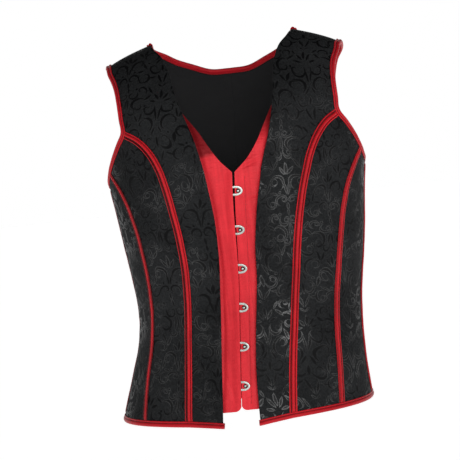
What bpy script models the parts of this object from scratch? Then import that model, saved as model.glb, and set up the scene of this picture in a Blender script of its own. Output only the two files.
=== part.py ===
"""Corset vest, as worn: brocade panels over satin under fronts, boned seam casings,
bound edges and a steel busk.

Metres, +Z up, front towards -Y. The origin lies between the two neck points, on top of the
shoulders. Left and right are the wearer's: left is +X. A place on the body is a pair (angle,
height): the angle is in degrees round from the centre front, 90 at the side, 180 at the back.
"""
import math

import bmesh
import bpy
from mathutils import Vector

# Thicknesses and clearances
CLOTH = 0.0020
UNDER_CLOTH = 0.0018
CLEAR = 0.0003
SEAM_HALF_GAP = 0.0002
UNDER_DEPTH = 0.0006
FRONT_LIFT = 0.0032
LIFT_SPAN = 9.0
LIFT_TOP = -0.04
LIFT_FADE = 0.12

# Casings and bindings
PRINCESS_WIDTH = 0.0135
SIDE_CASING_WIDTH = 0.0125
CASING_EDGE = 0.0012
CASING_CROWN = 0.0024
BINDING_WIDTH = 0.0070
BINDING_CLOTH = 0.0015
BINDING_OUTSIDE_CLEAR = 0.0005
BINDING_INSIDE_CLEAR = 0.0012
BINDING_KEEP_OUT = BINDING_WIDTH + 0.0012

# Busk
BUSK_STEPS = 6
BUSK_TOP = -0.2326
BUSK_PITCH = 0.0570
LOOP_REACH = 0.0130
LOOP_ROOT = 0.0035
LOOP_HALF_HEIGHT = 0.0072
LOOP_RIM = 0.0032
LOOP_BEND = 0.0105
LOOP_THICKNESS = 0.0012
LOOP_ABOVE_CLOTH = 0.0006
POST_OFFSET = 0.0062
POST_RADIUS = 0.0015
POST_HEAD_RADIUS = 0.0028
POST_NECK = 0.0018
POST_HEAD = 0.0012

# Grid sizes
BODY_ROWS = 20
YOKE_ROWS = 8
NECK_ROWS = 6
COLUMNS = {"front": 6, "side_front": 3, "side": 3, "side_back": 5, "back": 7, "under_front": 4}

# Rings of the worn shape, with the sway and turn of the way it hangs
SECTION_POWER = 2.35
SECTIONS = (
    # height, half width, front depth, back depth, ridge, sway, turn in degrees
    (-0.600, 0.1940, 0.1150, 0.1220, 0.000, -0.0240, 0.0),
    (-0.570, 0.1895, 0.1120, 0.1190, 0.000, -0.0215, -0.5),
    (-0.500, 0.1765, 0.1060, 0.1050, 0.000, -0.0130, -1.9),
    (-0.450, 0.1695, 0.1015, 0.0940, 0.000, -0.0055, -3.3),
    (-0.400, 0.1685, 0.1000, 0.0900, 0.000, -0.0013, -2.4),
    (-0.350, 0.1740, 0.1020, 0.0930, 0.000, 0.0005, -0.4),
    (-0.300, 0.1805, 0.1070, 0.1000, 0.000, 0.0008, 1.1),
    (-0.250, 0.1860, 0.1130, 0.1090, 0.000, 0.0002, 2.6),
    (-0.200, 0.1925, 0.1160, 0.1160, 0.001, 0.0000, 4.1),
    (-0.150, 0.1945, 0.1130, 0.1170, 0.003, 0.0000, 4.4),
    (-0.110, 0.1945, 0.1060, 0.1100, 0.006, -0.0002, 2.8),
    (-0.080, 0.1930, 0.0960, 0.1000, 0.009, -0.0008, 1.7),
    (-0.050, 0.1890, 0.0780, 0.0850, 0.013, -0.0017, 0.9),
    (-0.030, 0.1800, 0.0600, 0.0690, 0.015, -0.0025, 0.5),
    (-0.015, 0.1510, 0.0460, 0.0560, 0.017, -0.0031, 0.2),
    (0.000, 0.1070, 0.0300, 0.0420, 0.018, -0.0037, 0.0),
    (0.010, 0.0720, 0.0200, 0.0320, 0.018, -0.0040, 0.0),
)

# Edges and seams of one half, from the hem up, as (angle, height)
FRONT_EDGE = (
    (14.7, -0.5755), (13.4, -0.500), (13.9, -0.440), (14.7, -0.380), (14.9, -0.320),
    (16.2, -0.260), (19.8, -0.210), (25.5, -0.160), (29.5, -0.131), (35.3, -0.096),
    (43.1, -0.060), (58.8, -0.027), (71.0, -0.012), (79.5, -0.004), (90.0, 0.000),
)
FRONT_EDGE_YOKE = 8
PRINCESS = (
    (36.0, -0.5695), (37.8, -0.500), (40.0, -0.440), (40.7, -0.380), (40.9, -0.320),
    (42.3, -0.260), (44.5, -0.220), (47.4, -0.190), (51.9, -0.165), (58.1, -0.145),
    (66.0, -0.131),
)
SIDE_FRONT = (
    (61.6, -0.5655), (63.6, -0.500), (64.3, -0.440), (64.5, -0.380), (64.6, -0.320),
    (65.6, -0.270), (68.7, -0.230), (73.0, -0.205), (78.8, -0.185),
)
SIDE = ((87.0, -0.5615), (88.0, -0.480), (88.5, -0.400), (89.0, -0.300), (90.0, -0.203))
SIDE_BACK = (
    (133.0, -0.5615), (136.5, -0.480), (138.0, -0.400), (136.5, -0.300), (132.0, -0.225),
    (125.0, -0.170), (113.5, -0.125),
)
CENTRE_BACK = ((180.0, -0.5635), (180.0, -0.400), (180.0, -0.250), (180.0, -0.080), (180.0, -0.044))
CENTRE_BACK_NAPE = 3
NECKLINE = (
    (180.0, -0.0440), (159.0, -0.0425), (141.5, -0.0330), (127.0, -0.0235), (115.5, -0.0135),
    (105.5, -0.0066), (97.5, -0.0015), (90.0, 0.0000),
)
ARMHOLE = (
    # shoulder, down the front, under the arm, up the back, shoulder
    (90.0, -0.0285), (82.6, -0.033), (78.0, -0.045), (73.2, -0.060), (69.0, -0.085),
    (67.0, -0.110), (66.0, -0.131), (69.0, -0.146), (73.6, -0.166), (78.8, -0.185),
    (84.0, -0.198), (90.0, -0.203), (96.0, -0.200), (102.0, -0.190), (107.5, -0.172),
    (111.5, -0.148), (113.5, -0.125), (113.0, -0.100), (111.0, -0.075), (107.0, -0.055),
    (102.0, -0.042), (96.5, -0.033), (90.0, -0.0285),
)
AT_PRINCESS = 6
AT_SIDE_FRONT = 9
AT_SIDE = 11
AT_SIDE_BACK = 16
AT_SHOULDER = 22

# Satin under fronts: the meeting edge with the V above it, and the hidden edge
UNDER_MEETING = (
    (0.16, -0.5560), (0.16, -0.450), (0.18, -0.340), (0.50, -0.280), (0.90, -0.205),
)
MEETING_SHIFT = (
    # height, and degrees that the meeting line lies towards the wearer's left
    (-0.5560, 0.95), (-0.5176, 0.80), (-0.4606, 0.15), (-0.4036, -0.85), (-0.3466, -1.60),
    (-0.2896, -1.75), (-0.2326, -1.35), (-0.2050, -1.05), (-0.0940, 0.00),
)
UNDER_V = ((0.90, -0.205), (10.5, -0.185), (17.0, -0.165), (23.8, -0.140), (33.0, -0.110), (38.0, -0.094))
UNDER_HIDDEN = (
    (24.0, -0.5560), (23.5, -0.450), (24.5, -0.340), (26.0, -0.270), (29.5, -0.205),
    (33.0, -0.165), (36.5, -0.130), (41.5, -0.094),
)
UNDER_HIDDEN_V = 4
UNDER_ROWS = 14
UNDER_V_ROWS = 6
UNDER_CORNER = 0.0070

# Base colour, roughness and metallic value of each finish
FINISHES = {
    "brocade": ((0.016, 0.017, 0.018, 1.0), 0.55, 0.0),
    "satin": ((0.52, 0.020, 0.030, 1.0), 0.38, 0.0),
    "trim": ((0.40, 0.014, 0.020, 1.0), 0.42, 0.0),
    "steel": ((0.62, 0.64, 0.62, 1.0), 0.28, 1.0),
}
SIDES = {"left": 1.0, "right": -1.0}
METRES_PER_DEGREE = 0.0026
ANGLE_STEP = 0.05
HEIGHT_STEP = 0.0002
TRACE_STEPS = 24
TOP_SHARE = 6


def mix(first, second, share):
    """The pair that lies a share of the way from the first to the second."""
    return tuple(a + (b - a) * share for a, b in zip(first, second))


def slope(before, here, after, step_before, step_after):
    """Slope of a smooth line at a point with unequal steps on its two sides."""
    first = (here - before) / step_before
    second = (after - here) / step_after
    return (first * step_after + second * step_before) / (step_before + step_after)


def hermite(start, end, start_slope, end_slope, step, share):
    """Cubic between two values with given slopes."""
    square = share * share
    cube = square * share
    return (
        (2 * cube - 3 * square + 1) * start
        + (cube - 2 * square + share) * step * start_slope
        + (3 * square - 2 * cube) * end
        + (cube - square) * step * end_slope
    )


def smooth(places, values, index, share):
    """Smooth value a share of the way along one stretch of a list of places and values."""
    step = places[index + 1] - places[index]
    plain = (values[index + 1] - values[index]) / step
    start_slope = plain
    end_slope = plain
    if index > 0:
        start_slope = slope(
            values[index - 1], values[index], values[index + 1], places[index] - places[index - 1], step
        )
    if index + 2 < len(places):
        end_slope = slope(
            values[index], values[index + 1], values[index + 2], step, places[index + 2] - places[index + 1]
        )
    return hermite(values[index], values[index + 1], start_slope, end_slope, step, share)


def section(height):
    """Sizes of the ring of the worn shape at a height."""
    heights = [row[0] for row in SECTIONS]
    index = 0
    while index < len(heights) - 2 and height > heights[index + 1]:
        index += 1
    share = (height - heights[index]) / (heights[index + 1] - heights[index])
    return [smooth(heights, [row[c] for row in SECTIONS], index, share) for c in range(1, len(SECTIONS[0]))]


def ring(angle, height):
    """Point of the worn shape at a signed angle and a height."""
    half_width, front, back, ridge, sway, turn = section(height)
    sine = math.sin(math.radians(angle))
    cosine = math.cos(math.radians(angle))
    depth = front if cosine > 0 else back
    total = (abs(sine) / half_width) ** SECTION_POWER + (abs(cosine) / depth) ** SECTION_POWER
    reach = total ** (-1.0 / SECTION_POWER)
    x = reach * sine
    y = -reach * cosine
    turned = math.radians(turn)
    return Vector((
        x * math.cos(turned) - y * math.sin(turned) + sway,
        x * math.sin(turned) + y * math.cos(turned) + ridge,
        height,
    ))


def tangents(angle, height):
    """How the ring point moves with one degree and with one metre of height."""
    round_about = ring(angle + ANGLE_STEP, height) - ring(angle - ANGLE_STEP, height)
    upward = ring(angle, height + HEIGHT_STEP) - ring(angle, height - HEIGHT_STEP)
    return round_about / (2 * ANGLE_STEP), upward / (2 * HEIGHT_STEP)


def off_body(side, place, out):
    """Point at a distance out from the worn shape, on one side of the body."""
    angle = side * place[0]
    round_about, upward = tangents(angle, place[1])
    return ring(angle, place[1]) + round_about.cross(upward).normalized() * out


def lift(place):
    """How far the shell stands off near its loose front edge."""
    heights = [point[1] for point in FRONT_EDGE]
    index = 0
    while index < len(heights) - 2 and place[1] > heights[index + 1]:
        index += 1
    share = (place[1] - heights[index]) / (heights[index + 1] - heights[index])
    edge = mix(FRONT_EDGE[index], FRONT_EDGE[index + 1], min(max(share, 0.0), 1.0))[0]
    near = min(max(1.0 - (place[0] - edge) / LIFT_SPAN, 0.0), 1.0)
    low = min(max((LIFT_TOP - place[1]) / LIFT_FADE, 0.0), 1.0)
    return FRONT_LIFT * near * near * (3.0 - 2.0 * near) * low


def shell(side, place, out):
    """Point of the brocade shell or of what is sewn on it."""
    return off_body(side, place, out + lift(place))


def trace(table, count, first=0, last=None):
    """Points at even steps along the smooth line through part of a table."""
    last = len(table) - 1 if last is None else last
    travelled = [0.0]
    for before, after in zip(table, table[1:]):
        step = math.hypot((after[0] - before[0]) * METRES_PER_DEGREE, after[1] - before[1])
        travelled.append(travelled[-1] + step)
    fine = []
    for index in range(first, last):
        for part in range(TRACE_STEPS + (index == last - 1)):
            share = part / TRACE_STEPS
            fine.append(tuple(
                smooth(travelled, [point[c] for point in table], index, share) for c in (0, 1)
            ))
    points = [ring(*place) for place in fine]
    lengths = [0.0]
    for before, after in zip(points, points[1:]):
        lengths.append(lengths[-1] + (after - before).length)
    stations = [fine[0]]
    index = 0
    for number in range(1, count):
        wanted = lengths[-1] * number / count
        while lengths[index + 1] < wanted:
            index += 1
        share = (wanted - lengths[index]) / (lengths[index + 1] - lengths[index])
        stations.append(mix(fine[index], fine[index + 1], share))
    stations.append(fine[-1])
    return stations


def shifted(places, distance):
    """The same places moved round the body by a distance."""
    moved = []
    for angle, height in places:
        round_about = tangents(angle, height)[0]
        moved.append((angle + distance / round_about.length, height))
    return moved


def toward(start, end, distance):
    """The place at a distance from a start, in the direction of another place."""
    return mix(start, end, distance / (ring(*end) - ring(*start)).length)


def inset(places, number, distance):
    """A station of a line moved to its right, as seen from outside, by a distance."""
    here = places[number]
    before = places[max(number - 1, 0)]
    after = places[min(number + 1, len(places) - 1)]
    round_about, upward = tangents(*here)
    along = round_about * (after[0] - before[0]) + upward * (after[1] - before[1])
    angle_part = upward.dot(along)
    height_part = -round_about.dot(along)
    moved = round_about * angle_part + upward * height_part
    scale = distance / moved.length
    return here[0] + angle_part * scale, here[1] + height_part * scale


def finish_object(name, bm, finish):
    """Turn a bmesh into a named object with its own material."""
    mesh = bpy.data.meshes.new(name)
    bm.to_mesh(mesh)
    bm.free()
    piece = bpy.data.objects.new(name, mesh)
    collection.objects.link(piece)
    colour, roughness, metallic = FINISHES[finish]
    material = bpy.data.materials.new(name)
    material.use_nodes = True
    shader = material.node_tree.nodes["Principled BSDF"]
    shader.inputs["Base Color"].default_value = colour
    shader.inputs["Roughness"].default_value = roughness
    shader.inputs["Metallic"].default_value = metallic
    mesh.materials.append(material)
    return piece


def wall(name, finish, columns, rows, place, closed=False):
    """A closed wall: a grid laid on one face and extruded to the other."""
    bm = bmesh.new()
    column = bm.verts.layers.int.new("column")
    row = bm.verts.layers.int.new("row")
    bmesh.ops.create_grid(bm, x_segments=columns, y_segments=rows, size=1.0)
    for vert in bm.verts:
        vert[column] = round((vert.co.x + 1.0) / 2.0 * columns)
        vert[row] = round((vert.co.y + 1.0) / 2.0 * rows)
        vert.co = place(vert[column], vert[row], 0)
    if closed:
        bmesh.ops.remove_doubles(bm, verts=bm.verts[:], dist=0.00001)
    everything = bm.verts[:] + bm.edges[:] + bm.faces[:]
    grown = bmesh.ops.extrude_face_region(bm, geom=everything, use_keep_orig=True)["geom"]
    for vert in grown:
        if isinstance(vert, bmesh.types.BMVert):
            vert.co = place(vert[column], vert[row], 1)
    bmesh.ops.recalc_face_normals(bm, faces=bm.faces[:])
    return finish_object(name, bm, finish)


def lattice(columns, first_edge, second_edge, top=None):
    """Rows of places between two edges, the top row led along a line where one is given."""
    rows = [
        [mix(first, second, i / columns) for i in range(columns + 1)]
        for first, second in zip(first_edge, second_edge)
    ]
    if top is None:
        return rows
    rise = [(top[i][0] - rows[-1][i][0], top[i][1] - rows[-1][i][1]) for i in range(columns + 1)]
    for j, row in enumerate(rows):
        share = (j / (len(rows) - 1)) ** TOP_SHARE
        for i in range(1, columns):
            row[i] = (row[i][0] + rise[i][0] * share, row[i][1] + rise[i][1] * share)
    return rows


def panel(name, side, spots):
    """A brocade panel laid on rows of places."""
    return wall(
        name, "brocade", len(spots[0]) - 1, len(spots) - 1,
        lambda i, j, face: shell(side, spots[j][i], CLOTH * face),
    )


def casing(name, side, seam, width):
    """A padded satin strip over a seam, ending clear of the bindings."""
    strip = [toward(seam[0], seam[1], BINDING_KEEP_OUT)] + seam[1:-1]
    strip.append(toward(seam[-1], seam[-2], BINDING_KEEP_OUT))
    heights = (CASING_EDGE, CASING_CROWN, CASING_EDGE)

    def place(i, j, face):
        spot = inset(strip, j, width * (i / 2.0 - 0.5))
        return shell(side, spot, CLOTH + CLEAR + heights[i] * face)

    return wall(name, "trim", 2, len(strip) - 1, place)


def binding(name, side, pairs, closed=False):
    """A strip folded round an edge of the shell: outer leg, rim and inner leg.

    Its legs run along the rows of the panels, from each edge place to its neighbour.
    """
    outside = CLOTH + BINDING_OUTSIDE_CLEAR
    inside = -BINDING_INSIDE_CLEAR
    rim = BINDING_CLOTH + CLEAR
    legs = (
        # distance in from the edge and out from the body, on the two faces of the strip
        ((BINDING_WIDTH, outside), (BINDING_WIDTH, outside + BINDING_CLOTH)),
        ((-CLEAR, outside), (-rim, outside + BINDING_CLOTH)),
        ((-CLEAR, inside), (-rim, inside - BINDING_CLOTH)),
        ((BINDING_WIDTH, inside), (BINDING_WIDTH, inside - BINDING_CLOTH)),
    )

    def place(i, j, face):
        distance, out = legs[i][face]
        return shell(side, toward(*pairs[j], distance), out)

    return wall(name, "trim", 3, len(pairs) - 1, place, closed)


def meeting_shift(height):
    """How far round the meeting line lies at a height."""
    heights = [row[0] for row in MEETING_SHIFT]
    index = 0
    while index < len(heights) - 2 and height > heights[index + 1]:
        index += 1
    share = (height - heights[index]) / (heights[index + 1] - heights[index])
    return smooth(heights, [row[1] for row in MEETING_SHIFT], index, share)


def under_front(name, side, meeting, hidden):
    """A satin under front with its V neck and a rounded lower corner."""
    columns = COLUMNS["under_front"]

    def place(i, j, face):
        angle, height = mix(meeting[j], hidden[j], i / columns)
        angle += side * meeting_shift(height) * (1 - i / columns)
        if j == 0 and i == 0:
            height += UNDER_CORNER
        return off_body(side, (angle, height), -UNDER_DEPTH - UNDER_CLOTH * (1 - face))

    return wall(name, "satin", columns, len(meeting) - 1, place)


def busk_frame(number, across):
    """Centre, sideways, upward and outward directions of a busk fastening."""
    height = BUSK_TOP - BUSK_PITCH * number
    round_about, upward = tangents(0.0, height)
    angle = across / round_about.length + meeting_shift(height)
    centre = off_body(1.0, (angle, height), -UNDER_DEPTH)
    outward = off_body(1.0, (angle, height), 1.0) - off_body(1.0, (angle, height), 0.0)
    upward = upward.normalized()
    return centre, upward.cross(outward).normalized(), upward, outward


def loop_outline(left, right, half_height, bend):
    """A plate's outline: square at its root, round at its free end."""
    outline = [(left, half_height), (left, 0.0), (left, -half_height)]
    for step in range(9):
        angle = math.radians(-90.0 + 180.0 * step / 8)
        outline.append((right - bend + bend * math.cos(angle), half_height * math.sin(angle)))
    return outline


def busk_loop(number):
    """A flat steel loop, lying on the cloth on its free side."""
    centre, sideways, upward, outward = busk_frame(number, LOOP_REACH / 2)
    outer = loop_outline(-LOOP_REACH / 2 - LOOP_ROOT, LOOP_REACH / 2, LOOP_HALF_HEIGHT, LOOP_BEND)
    inner = loop_outline(
        -LOOP_REACH / 2 - LOOP_ROOT + LOOP_RIM, LOOP_REACH / 2 - LOOP_RIM, LOOP_HALF_HEIGHT - LOOP_RIM,
        LOOP_BEND - LOOP_RIM
    )
    bm = bmesh.new()
    for outline in (outer, inner):
        points = [
            bm.verts.new(centre + sideways * x + upward * z + outward * LOOP_ABOVE_CLOTH) for x, z in outline
        ]
        for index, point in enumerate(points):
            bm.edges.new((point, points[index - 1]))
    bmesh.ops.bridge_loops(bm, edges=bm.edges[:])
    everything = bm.verts[:] + bm.edges[:] + bm.faces[:]
    grown = bmesh.ops.extrude_face_region(bm, geom=everything, use_keep_orig=True)["geom"]
    moved = [item for item in grown if isinstance(item, bmesh.types.BMVert)]
    bmesh.ops.translate(bm, verts=moved, vec=outward * LOOP_THICKNESS)
    bmesh.ops.recalc_face_normals(bm, faces=bm.faces[:])
    return finish_object(f"busk_loop_{number + 1}", bm, "steel")


def busk_post(number):
    """A round post with a broad low head, standing in its loop."""
    centre, sideways, upward, outward = busk_frame(number, POST_OFFSET)
    profile = (
        (POST_RADIUS, CLEAR),
        (POST_RADIUS, POST_NECK),
        (POST_HEAD_RADIUS, POST_NECK),
        (POST_HEAD_RADIUS * 0.8, POST_NECK + POST_HEAD * 0.75),
    )
    bm = bmesh.new()
    points = [bm.verts.new(centre + outward * CLEAR)]
    points += [bm.verts.new(centre + sideways * radius + outward * out) for radius, out in profile]
    points.append(bm.verts.new(centre + outward * (POST_NECK + POST_HEAD)))
    edges = [bm.edges.new(pair) for pair in zip(points, points[1:])]
    bmesh.ops.spin(
        bm, geom=points + edges, cent=centre, axis=outward, angle=2 * math.pi, steps=8, use_merge=True
    )
    bmesh.ops.remove_doubles(bm, verts=bm.verts[:], dist=0.00001)
    bmesh.ops.recalc_face_normals(bm, faces=bm.faces[:])
    return finish_object(f"busk_post_{number + 1}", bm, "steel")


def build_half(word, side):
    """All the pieces of one side of the vest."""
    front_edge = trace(FRONT_EDGE, BODY_ROWS, 0, FRONT_EDGE_YOKE)
    front_edge += trace(FRONT_EDGE, YOKE_ROWS, FRONT_EDGE_YOKE)[1:]
    front_edge[-1] = shifted(front_edge[-1:], -SEAM_HALF_GAP)[0]
    princess = trace(PRINCESS, BODY_ROWS)
    side_front = trace(SIDE_FRONT, BODY_ROWS)
    side_seam = trace(SIDE, BODY_ROWS)
    side_back = trace(SIDE_BACK, BODY_ROWS)
    arm_front = trace(ARMHOLE, YOKE_ROWS, 0, AT_PRINCESS)[::-1]
    arm_side_front = trace(ARMHOLE, COLUMNS["side_front"], AT_PRINCESS, AT_SIDE_FRONT)
    arm_side = trace(ARMHOLE, COLUMNS["side"], AT_SIDE_FRONT, AT_SIDE)
    arm_side_back = trace(ARMHOLE, COLUMNS["side_back"], AT_SIDE, AT_SIDE_BACK)
    arm_back = trace(ARMHOLE, YOKE_ROWS, AT_SIDE_BACK, AT_SHOULDER)
    neckline = trace(NECKLINE, NECK_ROWS)
    centre = trace(CENTRE_BACK, BODY_ROWS, 0, CENTRE_BACK_NAPE)
    centre += trace(CENTRE_BACK, YOKE_ROWS - NECK_ROWS, CENTRE_BACK_NAPE)[1:]
    centre = shifted(centre, -SEAM_HALF_GAP)

    before = {name: shifted(seam, -SEAM_HALF_GAP) for name, seam in (
        ("princess", princess), ("side_front", side_front), ("side", side_seam), ("side_back", side_back)
    )}
    after = {name: shifted(seam, SEAM_HALF_GAP) for name, seam in (
        ("princess", princess), ("side_front", side_front), ("side", side_seam), ("side_back", side_back)
    )}
    front_outer = before["princess"] + arm_front[1:-1] + shifted(arm_front[-1:], -SEAM_HALF_GAP)
    back_outer = after["side_back"] + arm_back[1:-1] + shifted(arm_back[-1:], SEAM_HALF_GAP)
    back_inner = centre + neckline[1:-1] + shifted(neckline[-1:], SEAM_HALF_GAP)

    front = lattice(COLUMNS["front"], front_edge, front_outer)
    side_front_piece = lattice(COLUMNS["side_front"], after["princess"], before["side_front"], arm_side_front)
    side_piece = lattice(COLUMNS["side"], after["side_front"], before["side"], arm_side)
    side_back_piece = lattice(COLUMNS["side_back"], after["side"], before["side_back"], arm_side_back)
    back = lattice(COLUMNS["back"], back_outer, back_inner)
    under_arm = (side_front_piece, side_piece, side_back_piece)
    panel(f"front_{word}", side, front)
    panel(f"side_front_{word}", side, side_front_piece)
    panel(f"side_{word}", side, side_piece)
    panel(f"side_back_{word}", side, side_back_piece)
    panel(f"back_{word}", side, back)

    casing(f"princess_casing_{word}", side, princess, PRINCESS_WIDTH)
    casing(f"side_front_casing_{word}", side, side_front, SIDE_CASING_WIDTH)
    casing(f"side_casing_{word}", side, side_seam, SIDE_CASING_WIDTH)

    meeting = trace(UNDER_MEETING, UNDER_ROWS) + trace(UNDER_V, UNDER_V_ROWS)[1:]
    hidden = trace(UNDER_HIDDEN, UNDER_ROWS, 0, UNDER_HIDDEN_V)
    hidden += trace(UNDER_HIDDEN, UNDER_V_ROWS, UNDER_HIDDEN_V)[1:]
    under_front(f"under_front_{word}", side, meeting, hidden)

    arm = [(row[-1], row[-2]) for row in front[:BODY_ROWS:-1]]
    for piece in under_arm:
        arm += list(zip(piece[-1], piece[-2]))[1 if piece is not side_front_piece else 0:]
    arm += [(row[0], row[1]) for row in back[BODY_ROWS + 1:-1]]
    arm.append(arm[0])
    binding(f"armhole_binding_{word}", side, arm, closed=True)

    hem = []
    for piece in (front, *under_arm, back):
        hem += list(zip(piece[0], piece[1]))[1 if piece is not front else 0:]
    binding(f"hem_binding_{word}", side, hem)
    return back


for old in list(bpy.data.objects):
    bpy.data.objects.remove(old, do_unlink=True)
collection = bpy.data.collections.new("corset_vest")
bpy.context.scene.collection.children.link(collection)

for side_word, side_sign in SIDES.items():
    back_rows = build_half(side_word, side_sign)
neck = [(row[-1], row[-2]) for row in back_rows[:-NECK_ROWS - 1:-1]]
nape = [(180.0, back_rows[-NECK_ROWS - 1 - down][-1][1]) for down in (0, 1)]
opposite = [tuple((360.0 - angle, height) for angle, height in pair) for pair in reversed(neck)]
binding("neck_binding", 1.0, neck + [nape] + opposite)
for fastening in range(BUSK_STEPS):
    busk_loop(fastening)
    busk_post(fastening)
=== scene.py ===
"""Corset vest: black damask panels over red satin under fronts, boned satin casings over the
seams, bound edges and a steel busk. Metres, +Z up, front towards -Y, left and right are the
wearer's. A place on the worn shape is (angle, height): the angle is in degrees round from the
centre front, 90 at the side and 180 at the back.
"""
import math

import bmesh
import bpy
import numpy as np
from mathutils import Matrix, Vector


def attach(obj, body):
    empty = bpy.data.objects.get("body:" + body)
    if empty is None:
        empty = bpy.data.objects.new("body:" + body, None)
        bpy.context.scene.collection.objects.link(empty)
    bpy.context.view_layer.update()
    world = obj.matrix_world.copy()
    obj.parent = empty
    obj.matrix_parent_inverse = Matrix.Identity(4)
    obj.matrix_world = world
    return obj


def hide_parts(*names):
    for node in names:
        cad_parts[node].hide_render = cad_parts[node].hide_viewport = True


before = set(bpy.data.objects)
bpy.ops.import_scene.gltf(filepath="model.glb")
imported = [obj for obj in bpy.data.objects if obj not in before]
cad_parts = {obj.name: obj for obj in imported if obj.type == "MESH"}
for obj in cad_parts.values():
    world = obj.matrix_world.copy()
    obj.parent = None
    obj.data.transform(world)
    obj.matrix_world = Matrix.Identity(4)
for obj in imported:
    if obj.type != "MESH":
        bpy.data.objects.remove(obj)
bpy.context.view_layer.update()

# Camera, from the way the vest lies in the photograph
IMAGE_SIZE = 460
CAMERA_TARGET = Vector((0.0, 0.0, -0.29))
CAMERA_AZIMUTH = 5.67
CAMERA_ELEVATION = 1.76
CAMERA_ROLL = -6.16
CAMERA_DISTANCE = 2.671
FOCAL_PIXELS = 1760.0
TARGET_PIXEL = (242.9, 227.5)
SENSOR_MM = 36.0
FLOOR_HEIGHT = -0.90
FLOOR_RADIUS = 40.0

MILLIMETRE = 0.001

# Thicknesses and clearances
CLOTH = 0.0020
UNDER_CLOTH = 0.0018
SEAM_OVERLAP = 0.00012
UNDER_DEPTH = 0.0006
FRONT_LIFT = 0.0032
LIFT_SPAN = 9.0
LIFT_TOP = -0.04
LIFT_FADE = 0.12
HUG = 0.00015

# Casings and bindings
PRINCESS_WIDTH = {"left": 0.0114, "right": 0.0110}
SIDE_CASING_WIDTH = {"left": 0.0088, "right": 0.0079}
CASING_LEAN = 0.035
SIDE_CASING_HEIGHT = 0.72
BINDING_WIDTH = 0.0072
TUCK = 0.0050
TUCK_FADE = 0.0040
CASING_GAP = 0.0002
TUCKED_SHARE = 0.07
SEWN_GROOVE_OUT = 0.00018
STRIP_WOBBLE = 0.05

# Busk
BUSK_STEPS = 6
BUSK_TOP = -0.2326
BUSK_PITCH = 0.0570
LOOP_REACH = 0.0130
LOOP_ROOT = 0.0035
LOOP_HALF_HEIGHT = 0.0072
LOOP_RIM = 0.0032
LOOP_BAR = 0.0012
LOOP_BEND = 0.0105
LOOP_THICKNESS = 0.0012
LOOP_ABOVE_CLOTH = 0.0006
LOOP_ROUNDING = 0.00035
LOOP_ARC_STEPS = 20
POST_OFFSET = 0.0062
POST_STEPS = 32

# Relief of the satin under fronts
CHANNEL = 0.0140
CHANNEL_HEIGHT = 0.0005
CHANNEL_SLOPE = 0.0020
CHANNEL_GROOVE_WIDTH = 0.0008
CHANNEL_GROOVE_AWAY = 0.0004
CHANNEL_TOP = -0.2000
CHANNEL_FADE = 0.015
BUSK_LIFT = 0.0027
BUSK_LIFT_FLAT = 0.0030
EDGE_DIP = 0.0018
EDGE_DIP_WIDTH = 0.0050
RECESS = 0.0050
RECESS_START = -0.168
RECESS_SPAN = 0.045
RIPPLE = 0.00016
RIPPLE_FADE = 0.006
RIPPLE_WAVE = (560.0, 2.5, 83.0)
RIPPLE_SLANT = 120.0
RIPPLE_SLANT_PACE = 37.0
RIPPLE_PATCHES = (71.0, 90.0)
CENTRE_METRES_PER_DEGREE = 0.0019

# Grid sizes: rows up the body, up the yoke and round the neck, and columns of each panel
FINE = 9
BODY_ROWS = 20 * FINE
YOKE_ROWS = 8 * FINE
NECK_ROWS = 6 * FINE
TOP_ROWS_POWER = 6
COLUMNS = {"front": 42, "side_front": 28, "side": 28, "side_back": 46, "back": 46, "under_front": 46}
ARMHOLE_STEPS = 240
SEWING_STEPS = 200
EDGE_ROUNDING = 0.00055
GRAIN_TIP_SPAN = 0.10
GRAIN_TIP_MOST = 1.2
RIM_ANGLE = 0.9
MERGE = 0.000005

# Rings of the worn shape, with the sway and turn of the way it hangs
SECTION_POWER = 2.35
SECTIONS = (
    # height, half width, front depth, back depth, ridge, sway, turn in degrees
    (-0.600, 0.1940, 0.1150, 0.1220, 0.000, -0.0240, 0.0),
    (-0.570, 0.1895, 0.1120, 0.1190, 0.000, -0.0215, -0.5),
    (-0.500, 0.1765, 0.1060, 0.1050, 0.000, -0.0130, -1.9),
    (-0.450, 0.1695, 0.1015, 0.0940, 0.000, -0.0055, -3.3),
    (-0.400, 0.1685, 0.1000, 0.0900, 0.000, -0.0013, -2.4),
    (-0.350, 0.1740, 0.1020, 0.0930, 0.000, 0.0005, -0.4),
    (-0.300, 0.1805, 0.1070, 0.1000, 0.000, 0.0008, 1.1),
    (-0.250, 0.1860, 0.1130, 0.1090, 0.000, 0.0002, 2.6),
    (-0.200, 0.1925, 0.1160, 0.1160, 0.001, 0.0000, 4.1),
    (-0.150, 0.1945, 0.1130, 0.1170, 0.003, 0.0000, 4.4),
    (-0.110, 0.1945, 0.1060, 0.1100, 0.006, -0.0002, 2.8),
    (-0.080, 0.1930, 0.0960, 0.1000, 0.009, -0.0008, 1.7),
    (-0.050, 0.1890, 0.0780, 0.0850, 0.013, -0.0017, 0.9),
    (-0.030, 0.1800, 0.0600, 0.0690, 0.015, -0.0025, 0.5),
    (-0.015, 0.1510, 0.0460, 0.0560, 0.017, -0.0031, 0.2),
    (0.000, 0.1070, 0.0300, 0.0420, 0.018, -0.0037, 0.0),
    (0.010, 0.0720, 0.0200, 0.0320, 0.018, -0.0040, 0.0),
)

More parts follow.
